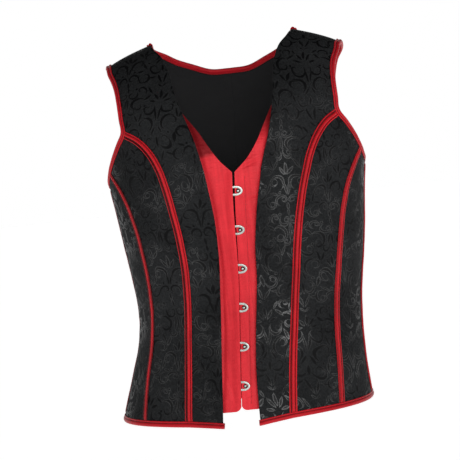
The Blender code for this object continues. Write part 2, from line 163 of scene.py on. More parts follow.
# Edges and seams of one half, from the hem up, as (angle, height)
FRONT_EDGE = (
    (14.7, -0.5755), (13.4, -0.500), (13.9, -0.440), (14.7, -0.380), (14.9, -0.320),
    (16.2, -0.260), (19.8, -0.210), (25.5, -0.160), (29.5, -0.131), (35.3, -0.096),
    (43.1, -0.060), (58.8, -0.027), (71.0, -0.012), (79.5, -0.004), (90.0, 0.000),
)
FRONT_EDGE_YOKE = 8
EDGE_SHIFT = (
    # height, and degrees that the right and left edges lie further out than the line above
    (-0.5755, -1.90, 0.00), (-0.5450, -1.10, -0.15), (-0.5150, 0.00, -0.30), (-0.4900, 0.70, -0.45),
    (-0.4530, 1.40, -0.60), (-0.4070, 1.85, -1.00), (-0.3620, 2.00, -1.30), (-0.3165, 1.30, -2.40),
    (-0.2710, 0.80, -1.50), (-0.2255, 0.80, -1.30), (-0.2030, 0.30, -2.00), (-0.1800, 0.20, -1.70),
    (-0.1570, 0.00, -0.90), (-0.1200, 0.00, 0.00),
)
PRINCESS = (
    (36.0, -0.5695), (37.8, -0.500), (40.0, -0.440), (40.7, -0.380), (40.9, -0.320),
    (42.3, -0.260), (44.5, -0.220), (47.4, -0.190), (51.9, -0.165), (58.1, -0.145),
    (66.0, -0.131),
)
SIDE_FRONT = (
    (61.6, -0.5655), (63.6, -0.500), (64.3, -0.440), (64.5, -0.380), (64.6, -0.320),
    (65.6, -0.270), (68.7, -0.230), (73.0, -0.205), (78.8, -0.185),
)
SIDE = ((87.0, -0.5615), (88.0, -0.480), (88.5, -0.400), (89.0, -0.300), (90.0, -0.203))
SIDE_BACK = (
    (133.0, -0.5615), (136.5, -0.480), (138.0, -0.400), (136.5, -0.300), (132.0, -0.225),
    (125.0, -0.170), (113.5, -0.125),
)
CENTRE_BACK = ((180.0, -0.5635), (180.0, -0.400), (180.0, -0.250), (180.0, -0.080), (180.0, -0.044))
CENTRE_BACK_NAPE = 3
NECKLINE = (
    (180.0, -0.0440), (159.0, -0.0425), (141.5, -0.0330), (127.0, -0.0235), (115.5, -0.0135),
    (105.5, -0.0066), (97.5, -0.0015), (90.0, 0.0000),
)
ARMHOLE = (
    # shoulder, down the front, under the arm, up the back, shoulder
    (90.0, -0.0285), (82.6, -0.033), (78.0, -0.045), (73.2, -0.060), (69.0, -0.085),
    (67.0, -0.110), (66.0, -0.131), (69.0, -0.146), (73.6, -0.166), (78.8, -0.185),
    (84.0, -0.198), (90.0, -0.203), (96.0, -0.200), (102.0, -0.190), (107.5, -0.172),
    (111.5, -0.148), (113.5, -0.125), (113.0, -0.100), (111.0, -0.075), (107.0, -0.055),
    (102.0, -0.042), (96.5, -0.033), (90.0, -0.0285),
)
AT_PRINCESS = 6
AT_SIDE_FRONT = 9
AT_SIDE = 11
AT_SIDE_BACK = 16
AT_SHOULDER = 22

# Satin under fronts: the meeting edge with the V above it, and the hidden edge
UNDER_MEETING = (
    (0.16, -0.5560), (0.16, -0.450), (0.18, -0.340), (0.50, -0.280), (0.90, -0.205),
)
MEETING_SHIFT = (
    # height, and degrees that the meeting line lies towards the wearer's left
    (-0.5560, 0.95), (-0.5176, 0.80), (-0.4606, 0.15), (-0.4036, -0.85), (-0.3466, -1.60),
    (-0.2896, -1.75), (-0.2326, -1.35), (-0.2050, -1.05), (-0.0940, 0.00),
)
MEETING_STEPS = 120
UNDER_V = ((0.90, -0.205), (10.5, -0.185), (17.0, -0.165), (23.8, -0.140), (33.0, -0.110), (38.0, -0.094))
UNDER_HIDDEN = (
    (24.0, -0.5560), (23.5, -0.450), (24.5, -0.340), (26.0, -0.270), (29.5, -0.205),
    (33.0, -0.165), (36.5, -0.130), (41.5, -0.094),
)
UNDER_HIDDEN_V = 4
UNDER_ROWS = 14 * FINE
UNDER_V_ROWS = 6 * FINE
UNDER_CORNER = 0.0090
UNDER_CORNER_SHARE = 1 / 7
UNDER_COLUMN_POWER = 1.35
UNDER_SEWING = (0.012, -0.212)
UNDER_SEWING_OUT = 0.0001
UNDER_RAISE = {"left": 0.0034, "right": 0.0020}

SIDES = {"left": 1.0, "right": -1.0}
METRES_PER_DEGREE = 0.0026
ANGLE_STEP = 0.05
HEIGHT_STEP = 0.001
RING_STEP = 0.001
TRACE_STEPS = 24

# Creases of the worn cloth, each a soft trough or ridge between two places
CREASE_SWAY = 0.12
CREASE_WAVES = 7.0
CREASE_END = 0.12
CREASES = (
    # side, angle, height, angle, height, out (mm), half width (mm)
    (1, 20.0, -0.395, 38.0, -0.402, -0.7, 9.0),
    (1, 24.0, -0.448, 37.0, -0.440, 0.5, 7.0),
    (1, 44.0, -0.372, 61.0, -0.380, -0.9, 8.0),
    (1, 46.0, -0.415, 62.0, -0.404, -0.6, 6.5),
    (1, 50.0, -0.300, 63.0, -0.316, -0.6, 8.0),
    (1, 68.0, -0.350, 86.0, -0.366, -1.1, 8.0),
    (1, 69.0, -0.402, 84.0, -0.398, -1.3, 9.0),
    (1, 70.0, -0.436, 86.0, -0.452, -0.7, 7.0),
    (1, 62.0, -0.118, 50.0, -0.160, -0.9, 9.0),
    (1, 45.0, -0.085, 38.0, -0.140, 0.6, 10.0),
    (1, 70.0, -0.185, 60.0, -0.215, -0.7, 8.0),
    (1, 30.0, -0.530, 22.0, -0.480, -0.6, 10.0),
    (-1, 19.0, -0.385, 37.0, -0.392, -0.8, 8.5),
    (-1, 22.0, -0.335, 36.0, -0.350, 0.5, 9.0),
    (-1, 43.0, -0.392, 62.0, -0.398, -1.0, 8.0),
    (-1, 45.0, -0.432, 60.0, -0.446, -0.6, 7.0),
    (-1, 66.0, -0.362, 85.0, -0.352, -1.2, 8.5),
    (-1, 68.0, -0.408, 87.0, -0.420, -1.0, 7.5),
    (-1, 72.0, -0.300, 86.0, -0.318, -0.6, 8.0),
    (-1, 60.0, -0.108, 46.0, -0.145, -0.8, 10.0),
    (-1, 40.0, -0.080, 34.0, -0.125, -0.9, 9.0),
    (-1, 72.0, -0.198, 63.0, -0.240, -0.6, 9.0),
    (-1, 28.0, -0.520, 20.0, -0.470, -0.7, 9.0),
    (1, 96.0, -0.372, 128.0, -0.384, -1.3, 9.5),
    (1, 94.0, -0.410, 122.0, -0.402, -1.0, 7.5),
    (1, 100.0, -0.446, 130.0, -0.458, -0.7, 8.0),
    (1, 108.0, -0.230, 124.0, -0.290, -0.8, 11.0),
    (1, 144.0, -0.392, 176.0, -0.398, -1.1, 9.0),
    (1, 146.0, -0.350, 172.0, -0.356, -0.7, 10.0),
    (1, 120.0, -0.120, 150.0, -0.175, -0.9, 13.0),
    (1, 112.0, -0.060, 140.0, -0.095, 0.7, 12.0),
    (-1, 95.0, -0.360, 126.0, -0.366, -1.0, 8.0),
    (-1, 97.0, -0.398, 130.0, -0.392, -1.4, 9.0),
    (-1, 102.0, -0.436, 124.0, -0.444, -0.8, 7.5),
    (-1, 110.0, -0.220, 126.0, -0.270, -0.7, 12.0),
    (-1, 146.0, -0.380, 174.0, -0.374, -0.9, 8.5),
    (-1, 142.0, -0.420, 170.0, -0.428, -0.8, 9.0),
    (-1, 118.0, -0.105, 148.0, -0.150, -1.0, 12.0),
    (-1, 114.0, -0.070, 136.0, -0.090, 0.6, 11.0),
)
SATIN_CREASES = (
    (1, 18.5, -0.191, 5.0, -0.200, -1.5, 2.4),
    (1, 18.5, -0.184, 6.0, -0.193, 0.9, 3.0),
    (1, 17.5, -0.246, 7.0, -0.250, -1.7, 2.0),
    (1, 17.5, -0.240, 7.0, -0.244, 0.8, 2.6),
    (1, 16.0, -0.268, 8.0, -0.266, -0.7, 3.0),
    (1, 15.5, -0.330, 7.0, -0.336, -0.4, 4.0),
    (1, 14.5, -0.455, 3.0, -0.462, -0.5, 4.5),
    (1, 10.0, -0.520, 3.0, -0.540, -0.6, 5.0),
    (1, 27.0, -0.150, 16.0, -0.172, 0.7, 7.0),
    (-1, 30.0, -0.142, 15.0, -0.172, -1.6, 6.0),
    (-1, 20.0, -0.205, 6.0, -0.212, -0.5, 5.0),
    (-1, 17.0, -0.300, 8.0, -0.306, -0.4, 4.5),
    (-1, 15.0, -0.395, 4.0, -0.388, -0.5, 5.0),
    (-1, 15.0, -0.430, 6.0, -0.436, -0.4, 3.5),
    (-1, 12.0, -0.500, 2.0, -0.545, -0.9, 4.0),
    (-1, 16.0, -0.540, 9.0, -0.530, 0.6, 5.0),
)


def mix(first, second, share):
    """The value that lies a share of the way from the first to the second."""
    return first + (second - first) * share


def eased(share):
    """A share from 0 to 1 that starts and ends level."""
    return share * share * (3.0 - 2.0 * share)


def uneven_wave(lengths, pace, swing, slow_pace, start=0.0, ahead=0.0):
    """A wave from -1 to 1 along some lengths, whose pace drifts."""
    return np.sin(lengths * pace + swing * np.sin(lengths * slow_pace + start) + ahead)


def slope(before, here, after, step_before, step_after):
    """Slope of a smooth line at a point with unequal steps on its two sides."""
    first = (here - before) / step_before
    second = (after - here) / step_after
    return (first * step_after + second * step_before) / (step_before + step_after)


def smooth(places, values, index, share):
    """Smooth value a share of the way along one stretch of a list of places and values."""
    step = places[index + 1] - places[index]
    start_slope = end_slope = (values[index + 1] - values[index]) / step
    if index > 0:
        start_slope = slope(
            values[index - 1], values[index], values[index + 1], places[index] - places[index - 1], step
        )
    if index + 2 < len(places):
        end_slope = slope(
            values[index], values[index + 1], values[index + 2], step, places[index + 2] - places[index + 1]
        )
    square = share * share
    cube = square * share
    return (
        (2 * cube - 3 * square + 1) * values[index]
        + (cube - 2 * square + share) * step * start_slope
        + (3 * square - 2 * cube) * values[index + 1]
        + (cube - square) * step * end_slope
    )


def looked_up(table, place):
    """Smooth values of a table's other columns where its first column is at a place."""
    places = [row[0] for row in table]
    index = 0
    while index < len(places) - 2 and place > places[index + 1]:
        index += 1
    share = (place - places[index]) / (places[index + 1] - places[index])
    return [smooth(places, [row[c] for row in table], index, share) for c in range(1, len(table[0]))]


RING_HEIGHTS = np.arange(SECTIONS[0][0], SECTIONS[-1][0], RING_STEP)
RING_SIZES = np.array([looked_up(SECTIONS, height) for height in RING_HEIGHTS])


def ring(angles, heights):
    """Points of the worn shape at signed angles and heights."""
    half_width, front, back, ridge, sway, turn = (
        np.interp(heights, RING_HEIGHTS, RING_SIZES[:, column]) for column in range(6)
    )
    sine = np.sin(np.radians(angles))
    cosine = np.cos(np.radians(angles))
    depth = np.where(cosine > 0, front, back)
    total = (np.abs(sine) / half_width) ** SECTION_POWER + (np.abs(cosine) / depth) ** SECTION_POWER
    reach = total ** (-1.0 / SECTION_POWER)
    x = reach * sine
    y = -reach * cosine
    turned = np.radians(turn)
    return np.stack((
        x * np.cos(turned) - y * np.sin(turned) + sway,
        x * np.sin(turned) + y * np.cos(turned) + ridge,
        heights + 0.0 * x,
    ), axis=-1)


def tangents(angles, heights):
    """How the ring points move with one degree and with one metre of height."""
    round_about = ring(angles + ANGLE_STEP, heights) - ring(angles - ANGLE_STEP, heights)
    upward = ring(angles, heights + HEIGHT_STEP) - ring(angles, heights - HEIGHT_STEP)
    return round_about / (2 * ANGLE_STEP), upward / (2 * HEIGHT_STEP)


def unit(vectors):
    """The same vectors, each one metre long."""
    return vectors / np.linalg.norm(vectors, axis=-1, keepdims=True)


def off_body(side, places, out):
    """Points at a distance out from the worn shape, on one side of the body."""
    angles = side * places[..., 0]
    heights = places[..., 1]
    round_about, upward = tangents(angles, heights)
    return ring(angles, heights) + unit(np.cross(round_about, upward)) * np.asarray(out)[..., None]


def front_edge_angle(heights):
    """The angle of the loose front edge at some heights."""
    angles, levels = np.array(FRONT_EDGE).T
    return np.interp(heights, levels, angles)


def lift(places):
    """How far the shell stands off near its loose front edge."""
    edge = front_edge_angle(places[..., 1])
    near = np.clip(1.0 - (places[..., 0] - edge) / LIFT_SPAN, 0.0, 1.0)
    low = np.clip((LIFT_TOP - places[..., 1]) / LIFT_FADE, 0.0, 1.0)
    return FRONT_LIFT * eased(near) * low


def creased(side, places, creases):
    """How far the creases of one side move the cloth out."""
    across = places[..., 0] * METRES_PER_DEGREE
    up = places[..., 1]
    out = np.zeros(up.shape)
    for crease_side, angle, height, end_angle, end_height, depth, half_width in creases:
        if crease_side != side:
            continue
        start = np.array((angle * METRES_PER_DEGREE, height))
        reach = np.array((end_angle * METRES_PER_DEGREE, end_height)) - start
        length = math.hypot(*reach)
        along = ((across - start[0]) * reach[0] + (up - start[1]) * reach[1]) / length
        away = ((up - start[1]) * reach[0] - (across - start[0]) * reach[1]) / length
        width = half_width * MILLIMETRE
        away = away + CREASE_SWAY * width * np.sin(along / length * CREASE_WAVES + angle)
        ends = np.clip(along / length, 0.0, 1.0)
        past = np.abs(along - ends * length)
        fade = np.sin(np.pi * mix(CREASE_END, 1.0 - CREASE_END, ends))
        out += depth * MILLIMETRE * fade * np.exp(-(away / width) ** 2 - (past / width) ** 2)
    return out


def shell(side, places, out):
    """Points of the brocade shell or of what is sewn on it."""
    return off_body(side, places, out + lift(places) + creased(side, places, CREASES))


def trace(table, count, first=0, last=None):
    """Places at even steps along the smooth line through part of a table."""
    last = len(table) - 1 if last is None else last
    travelled = [0.0]
    for before, after in zip(table, table[1:]):
        step = math.hypot((after[0] - before[0]) * METRES_PER_DEGREE, after[1] - before[1])
        travelled.append(travelled[-1] + step)
    fine = []
    for index in range(first, last):
        for part in range(TRACE_STEPS + (index == last - 1)):
            share = part / TRACE_STEPS
            fine.append([smooth(travelled, [point[c] for point in table], index, share) for c in (0, 1)])
    fine = np.array(fine)
    lengths = lengths_along(ring(fine[:, 0], fine[:, 1]))
    wanted = np.linspace(0.0, lengths[-1], count + 1)
    return np.stack([np.interp(wanted, lengths, fine[:, c]) for c in (0, 1)], axis=-1)


def lengths_along(points):
    """Distance travelled along a line of points."""
    steps = np.linalg.norm(np.diff(points, axis=0), axis=-1)
    return np.concatenate(([0.0], np.cumsum(steps)))


def shifted(places, distance):
    """The same places moved round the body by a distance."""
    round_about = tangents(places[:, 0], places[:, 1])[0]
    moved = places.copy()
    moved[:, 0] += distance / np.linalg.norm(round_about, axis=-1)
    return moved


def inset(places, distance, closed=False):
    """A line of places moved to its right, as seen from outside, by a distance."""
    if closed:
        step = np.roll(places, -1, axis=0) - np.roll(places, 1, axis=0)
    else:
        step = np.gradient(places, axis=0)
    round_about, upward = tangents(places[:, 0], places[:, 1])
    along = round_about * step[:, :1] + upward * step[:, 1:]
    angle_part = np.sum(upward * along, axis=-1)
    height_part = -np.sum(round_about * along, axis=-1)
    moved = round_about * angle_part[:, None] + upward * height_part[:, None]
    scale = distance / np.linalg.norm(moved, axis=-1)
    return places + np.stack((angle_part * scale, height_part * scale), axis=-1)


def lattice(columns, first_edge, second_edge, top=None):
    """Rows of places between two edges, the top row led along a line where one is given."""
    shares = np.linspace(0.0, 1.0, columns + 1)[None, :, None]
    rows = mix(first_edge[:, None, :], second_edge[:, None, :], shares)
    if top is None:
        return rows
    rise = top - rows[-1]
    rise[0] = rise[-1] = 0.0
    return rows + rise[None] * (np.linspace(0.0, 1.0, len(rows)) ** TOP_ROWS_POWER)[:, None, None]


def unrolled(points, lean):
    """Flat coordinates of a grid of points, in metres, with the grain upright.

    Lean tips the grain towards the front or back over the shoulder.
    """
    along_row = np.gradient(points, axis=1)
    along_column = np.gradient(points, axis=0)
    normals = unit(np.cross(along_row, along_column))
    middle = points.shape[1] // 2
    if normals[len(points) // 3, middle] @ (points[len(points) // 3, middle] * (1, 1, 0)) < 0:
        normals = -normals
    tip = lean * np.clip(points[..., 2:] / GRAIN_TIP_SPAN + 1.0, 0.0, GRAIN_TIP_MOST)
    guide = np.concatenate((np.zeros_like(tip), tip, np.ones_like(tip)), axis=-1)
    up = unit(guide - np.sum(guide * normals, axis=-1, keepdims=True) * normals)
    right = np.cross(up, normals)

    def travelled(axis):
        steps = np.diff(points, axis=axis)
        middles = [(np.delete(way, 0, axis) + np.delete(way, -1, axis)) / 2 for way in (right, up)]
        parts = np.stack([np.sum(steps * way, axis=-1) for way in middles], axis=-1)
        start = np.zeros_like(np.take(parts, [0], axis))
        return np.concatenate((start, np.cumsum(parts, axis=axis)), axis=axis)

    rows = travelled(1)
    rows = rows - rows[:, middle:middle + 1]
    return rows + travelled(0)[:, middle:middle + 1]


def finish_piece(name, bm, materials, node):
    """Turn a bmesh into a named, smooth piece that stands for a solid of the frame."""
    mesh = bpy.data.meshes.new(name)
    bm.to_mesh(mesh)
    bm.free()
    mesh.shade_smooth()
    piece = bpy.data.objects.new(name, mesh)
    bpy.context.scene.collection.objects.link(piece)
    for material in materials:
        mesh.materials.append(material)
    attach(piece, "root")
    if node:
        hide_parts(node)
    return piece


def laid_grid(points, flat):
    """A bmesh grid laid on rows of points, with its flat coordinates, and its numbering."""
    rows, columns = points.shape[0] - 1, points.shape[1] - 1
    bm = bmesh.new()
    number = bm.verts.layers.int.new("number")
    layer = bm.loops.layers.uv.new("cloth")
    bmesh.ops.create_grid(bm, x_segments=columns, y_segments=rows, size=1.0)
    spots = points.reshape(-1, 3)
    flats = flat.reshape(-1, 2)
    for vert in bm.verts:
        i = round((vert.co.x + 1.0) / 2.0 * columns)
        j = round((vert.co.y + 1.0) / 2.0 * rows)
        vert[number] = j * (columns + 1) + i
        vert.co = spots[vert[number]]
    for face in bm.faces:
        for loop in face.loops:
            loop[layer].uv = flats[loop.vert[number]]
    return bm, number


def grown_from(bm):
    """Extrude everything in a bmesh, keep the original and return what has grown."""
    everything = bm.verts[:] + bm.edges[:] + bm.faces[:]
    return bmesh.ops.extrude_face_region(bm, geom=everything, use_keep_orig=True)["geom"]


def grid_wall(outer, inner, flat):
    """A closed wall: a grid laid on the outer face and extruded to the inner one."""
    bm, number = laid_grid(outer, flat)
    insides = inner.reshape(-1, 3)
    for item in grown_from(bm):
        if isinstance(item, bmesh.types.BMVert):
            item.co = insides[item[number]]
        elif isinstance(item, bmesh.types.BMFace):
            item.material_index = 1
    bmesh.ops.recalc_face_normals(bm, faces=bm.faces[:])
    return bm


def round_rims(bm, width, segments=2):
    """Round the hard rims of a wall."""
    rims = [edge for edge in bm.edges if edge.is_manifold and edge.calc_face_angle() > RIM_ANGLE]
    bmesh.ops.bevel(
        bm, geom=rims, offset=width, offset_type="OFFSET", segments=segments, profile=0.5,
        affect="EDGES", material=-1, clamp_overlap=True,
    )


def tube_wall(sections, flat, closed=False):
    """A strip of closed cross sections: rows are places along it, columns go round it."""
    bm = laid_grid(np.concatenate((sections, sections[:, :1]), axis=1), flat)[0]
    bmesh.ops.remove_doubles(bm, verts=bm.verts[:], dist=MERGE)
    if not closed:
        bmesh.ops.holes_fill(bm, edges=[edge for edge in bm.edges if edge.is_boundary], sides=0)
    bmesh.ops.recalc_face_normals(bm, faces=bm.faces[:])
    return bm


# Node helpers


class Number:
    """A number worked out in a material's nodes, joined to others by plain arithmetic."""

    def __init__(self, tree, socket):
        self.tree = tree
        self.socket = socket

    def joined(self, operation, *others):
        """The result of one operation on this number and others."""
        node = self.tree.nodes.new("ShaderNodeMath")
        node.operation = operation
        for value, socket in zip((self, *others), node.inputs):
            if isinstance(value, Number):
                self.tree.links.new(value.socket, socket)
            else:
                socket.default_value = value
        return Number(self.tree, node.outputs[0])

    def __add__(self, other):
        return self.joined("ADD", other)

    def __sub__(self, other):
        return self.joined("SUBTRACT", other)

    def __mul__(self, other):
        return self.joined("MULTIPLY", other)

    def less_from(self, value):
        """The value less this number."""
        return self.joined("MULTIPLY_ADD", -1.0, value)

    def bigger(self, other):
        return self.joined("MAXIMUM", other)

    def smaller(self, other):
        return self.joined("MINIMUM", other)

    def size(self):
        return self.joined("ABSOLUTE")

    def sine(self):
        return self.joined("SINE")

    def folded(self, length):
        """Distance to the nearest whole multiple of a length."""
        return self.joined("PINGPONG", length)

    def wrapped(self, low, high):
        return self.joined("WRAP", high, low)

    def ramped(self, start, end, low=0.0, high=1.0):
        """From low to high as the number goes from start to end, smoothly."""
        node = self.tree.nodes.new("ShaderNodeMapRange")
        node.interpolation_type = "SMOOTHSTEP"
        for name, value in (("From Min", start), ("From Max", end), ("To Min", low), ("To Max", high)):
            node.inputs[name].default_value = value
        self.tree.links.new(self.socket, node.inputs["Value"])
        return Number(self.tree, node.outputs["Result"])


def new_material(name):
    """A material, its tree and its principled shader."""
    material = bpy.data.materials.new(name)
    material.use_nodes = True
    tree = material.node_tree
    return material, tree, tree.nodes["Principled BSDF"]


def parts_of(tree, vector):
    """The three numbers of a vector."""
    node = tree.nodes.new("ShaderNodeSeparateXYZ")
    tree.links.new(vector, node.inputs[0])
    return [Number(tree, socket) for socket in node.outputs]


def uv_numbers(tree):
    """The two flat coordinates of the cloth, in metres."""
    node = tree.nodes.new("ShaderNodeUVMap")
    node.uv_map = "cloth"
    return parts_of(tree, node.outputs["UV"])[:2]


def vector_of(tree, x, y):
    """A vector of two numbers."""
    node = tree.nodes.new("ShaderNodeCombineXYZ")
    for index, value in enumerate((x, y)):
        tree.links.new(value.socket, node.inputs[index])
    return node.outputs[0]


def noise(tree, vector, scale, detail=2.0, roughness=0.5):
    """Soft random cloudiness, from 0 to 1."""
    node = tree.nodes.new("ShaderNodeTexNoise")
    node.inputs["Scale"].default_value = scale
    node.inputs["Detail"].default_value = detail
    node.inputs["Roughness"].default_value = roughness
    tree.links.new(vector, node.inputs["Vector"])
    return Number(tree, node.outputs["Fac"])


def object_vector(tree):
    """The place on the vest."""
    return tree.nodes.new("ShaderNodeTexCoord").outputs["Object"]


def blended(tree, share, first, second):
    """One colour going to another."""
    node = tree.nodes.new("ShaderNodeMix")
    node.data_type = "RGBA"
    tree.links.new(share.socket, node.inputs["Factor"])
    for socket, colour in ((node.inputs[6], first), (node.inputs[7], second)):
        if isinstance(colour, tuple):
            socket.default_value = (*colour, 1.0)
        else:
            tree.links.new(colour, socket)
    return node.outputs[2]


def bumped(tree, shader, height, distance):
    """Raise a shader's surface by a height from 0 to 1 times a distance."""
    node = tree.nodes.new("ShaderNodeBump")
    node.inputs["Strength"].default_value = 1.0
    node.inputs["Distance"].default_value = distance
    tree.links.new(height.socket, node.inputs["Height"])
    tree.links.new(node.outputs["Normal"], shader.inputs["Normal"])


def set_shader(shader, **values):
    """Set a shader's own sockets by name, with underscores for spaces."""
    for name, value in values.items():
        shader.inputs[name.replace("_", " ")].default_value = value


# Damask of one repeat, mirrored about both of its upright axes: figures of one or two circles

FIGURE_SCALE = 0.00134
REPEAT_WIDTH = 78 * FIGURE_SCALE
REPEAT_HEIGHT = 94 * FIGURE_SCALE
CRESCENT_MOUTH = 0.33
CURL_SIZE = 0.46
CURL_THICKNESS = 0.62
CURL_PLACE = 62
CURL_MOUTH = 165
SCROLLS = (
    # across, up, size, thickness (a repeat is 78 across), direction of the mouth, turn of the curl
    (10.6, 14.6, 7.6, 3.0, 70, -1),
    (14.0, -4.6, 9.8, 3.6, 330, 1),
    (8.4, -25.4, 6.6, 2.7, 120, -1),
    (20.4, -37.2, 7.0, 2.9, 20, -1),
    (25.4, 23.4, 8.8, 3.5, 205, 1),
    (21.0, 40.6, 5.0, 2.2, 310, 1),
    (28.6, -15.4, 8.2, 3.3, 235, -1),
    (32.4, 36.4, 5.8, 2.6, 75, -1),
    (32.0, -35.4, 6.2, 2.7, 300, 1),
    (33.6, 13.4, 4.4, 2.0, 100, 1),
)
FIGURES = (
    # kind, across, up, size, thickness, direction in degrees
    ("leaf", 0.0, 33.4, 12.0, 3.6, 90),
    ("leaf", 5.2, 30.6, 11.0, 3.0, 56),
    ("leaf", 8.6, 25.0, 9.0, 2.6, 16),
    ("leaf", 2.4, 7.0, 18.0, 2.6, 80),
    ("leaf", 4.4, -12.6, 12.0, 2.6, 118),
    ("leaf", 0.0, -25.0, 11.0, 3.2, 90),
    ("leaf", 3.4, -39.4, 14.0, 2.6, 70),
    ("leaf", 11.6, -36.6, 9.0, 2.4, -18),
    ("leaf", 2.8, 45.0, 7.0, 1.8, 40),
    ("leaf", 12.6, 40.0, 9.0, 2.4, 60),
    ("leaf", 15.8, 31.6, 11.0, 2.8, 140),
    ("leaf", 22.4, 6.4, 13.0, 2.8, 108),
    ("leaf", 27.6, 5.0, 11.0, 2.6, 60),
    ("leaf", 18.6, -20.0, 11.0, 2.6, 72),
    ("leaf", 24.0, -27.4, 9.0, 2.4, 160),
    ("leaf", 39.0, -1.0, 13.0, 3.6, 90),
    ("leaf", 34.8, -3.2, 11.0, 2.8, 124),
    ("leaf", 37.6, 24.4, 17.0, 2.4, 84),
    ("leaf", 37.2, -22.4, 14.0, 2.4, 100),
    ("leaf", 39.0, 44.4, 8.0, 2.8, 90),
    ("leaf", 39.0, -43.0, 8.0, 2.8, 90),
    ("dot", 30.4, -26.4, 1.5, 0, 0),
    ("dot", 17.6, 19.6, 1.4, 0, 0),
    ("dot", 28.0, 44.0, 1.4, 0, 0),
    ("dot", 14.4, -16.8, 1.3, 0, 0),
)


def volute(across, up, size, thickness, direction, hand):
    """The two crescents of a scroll: its back, and the curl at one of its ends."""
    place = math.radians(direction + hand * CURL_PLACE)
    away = size * (1 - CURL_SIZE)
    curl = (across + away * math.cos(place), up + away * math.sin(place))
    mouth = direction + hand * (CURL_PLACE + CURL_MOUTH)
    return [
        ("crescent", across, up, size, thickness, direction),
        ("crescent", *curl, size * CURL_SIZE, thickness * CURL_THICKNESS, mouth),
    ]


def circles_of(kind, across, up, size, thickness, direction):
    """The centres and radii, in metres, of the two circles that bound a figure, or of a dot's one."""
    across, up, size, thickness = (value * FIGURE_SCALE for value in (across, up, size, thickness))
    turn = math.radians(direction)
    if kind == "crescent":
        shift = size * CRESCENT_MOUTH
        mouth = (across + shift * math.cos(turn), up + shift * math.sin(turn))
        return (across, up), mouth, size, size + shift - thickness
    if kind == "leaf":
        radius = (size * size + thickness * thickness) / (4 * thickness)
        aside = radius - thickness / 2
        first = (across - aside * math.sin(turn), up + aside * math.cos(turn))
        second = (across + aside * math.sin(turn), up - aside * math.cos(turn))
        return first, second, radius, radius
    return (across, up), None, size, None


def distance_from(tree, vector, centre):
    """Distance from a point of the pattern."""
    node = tree.nodes.new("ShaderNodeVectorMath")
    node.operation = "DISTANCE"
    tree.links.new(vector, node.inputs[0])
    node.inputs[1].default_value = (*centre, 0.0)
    return Number(tree, node.outputs["Value"])


def figure_field(tree, across, up):
    """Distance to the nearest damask figure, in metres, negative inside it."""
    folded = vector_of(
        tree, across.folded(REPEAT_WIDTH / 2), up.wrapped(-REPEAT_HEIGHT / 2, REPEAT_HEIGHT / 2)
    )
    nearest = None
    curls = [crescent for scroll in SCROLLS for crescent in volute(*scroll)]
    for kind, *measures in [*FIGURES, *curls]:
        first, second, radius, other = circles_of(kind, *measures)
        shape = distance_from(tree, folded, first) - radius
        if kind == "crescent":
            shape = shape.bigger(distance_from(tree, folded, second).less_from(other))
        elif kind == "leaf":
            shape = shape.bigger(distance_from(tree, folded, second) - other)
        nearest = shape if nearest is None else nearest.smaller(shape)
    return nearest


# Weaves: pitches and depths in metres, colours, and how far the pattern strays from its lines
RIB_PITCH = 0.0011
STROKE_PITCH = 0.00135
TWILL_PITCH = 0.0009
WANDER = 0.0024
DRIFT = 0.0220
FIGURE_SOFTNESS = 0.00022
OUTLINE_WIDTH = 0.00080
OUTLINE_CORE = 0.00020
DAMASK_DEPTH = 0.00035
LINING_DEPTH = 0.0002
SATIN_DEPTH = 0.0007
THREAD_DEPTH = 0.0001
STEEL_DEPTH = 0.00005
GROUND_DARK = (0.0050, 0.0053, 0.0056)
GROUND_LIGHT = (0.0195, 0.0204, 0.0213)
FIGURE_BLACK = (0.0022, 0.0023, 0.0026)
LINING_DARK = (0.0075, 0.0075, 0.0080)
LINING_LIGHT = (0.0180, 0.0180, 0.0190)
# Painted shade: how dark the colour is painted in sewn grooves, as a share of the darker tone
PAINTED_GROOVE_SHADE = 0.10
# Painted shade above the fold line of the satin under fronts: its darkness, strength and wander
PAINTED_FOLD_SHADE = 0.24
PAINTED_FOLD_SHADE_STRENGTH = 0.85
PAINTED_FOLD_SHADE_WANDER = 0.022
SATIN_TINT = (1.0, 0.24, 0.25, 1.0)


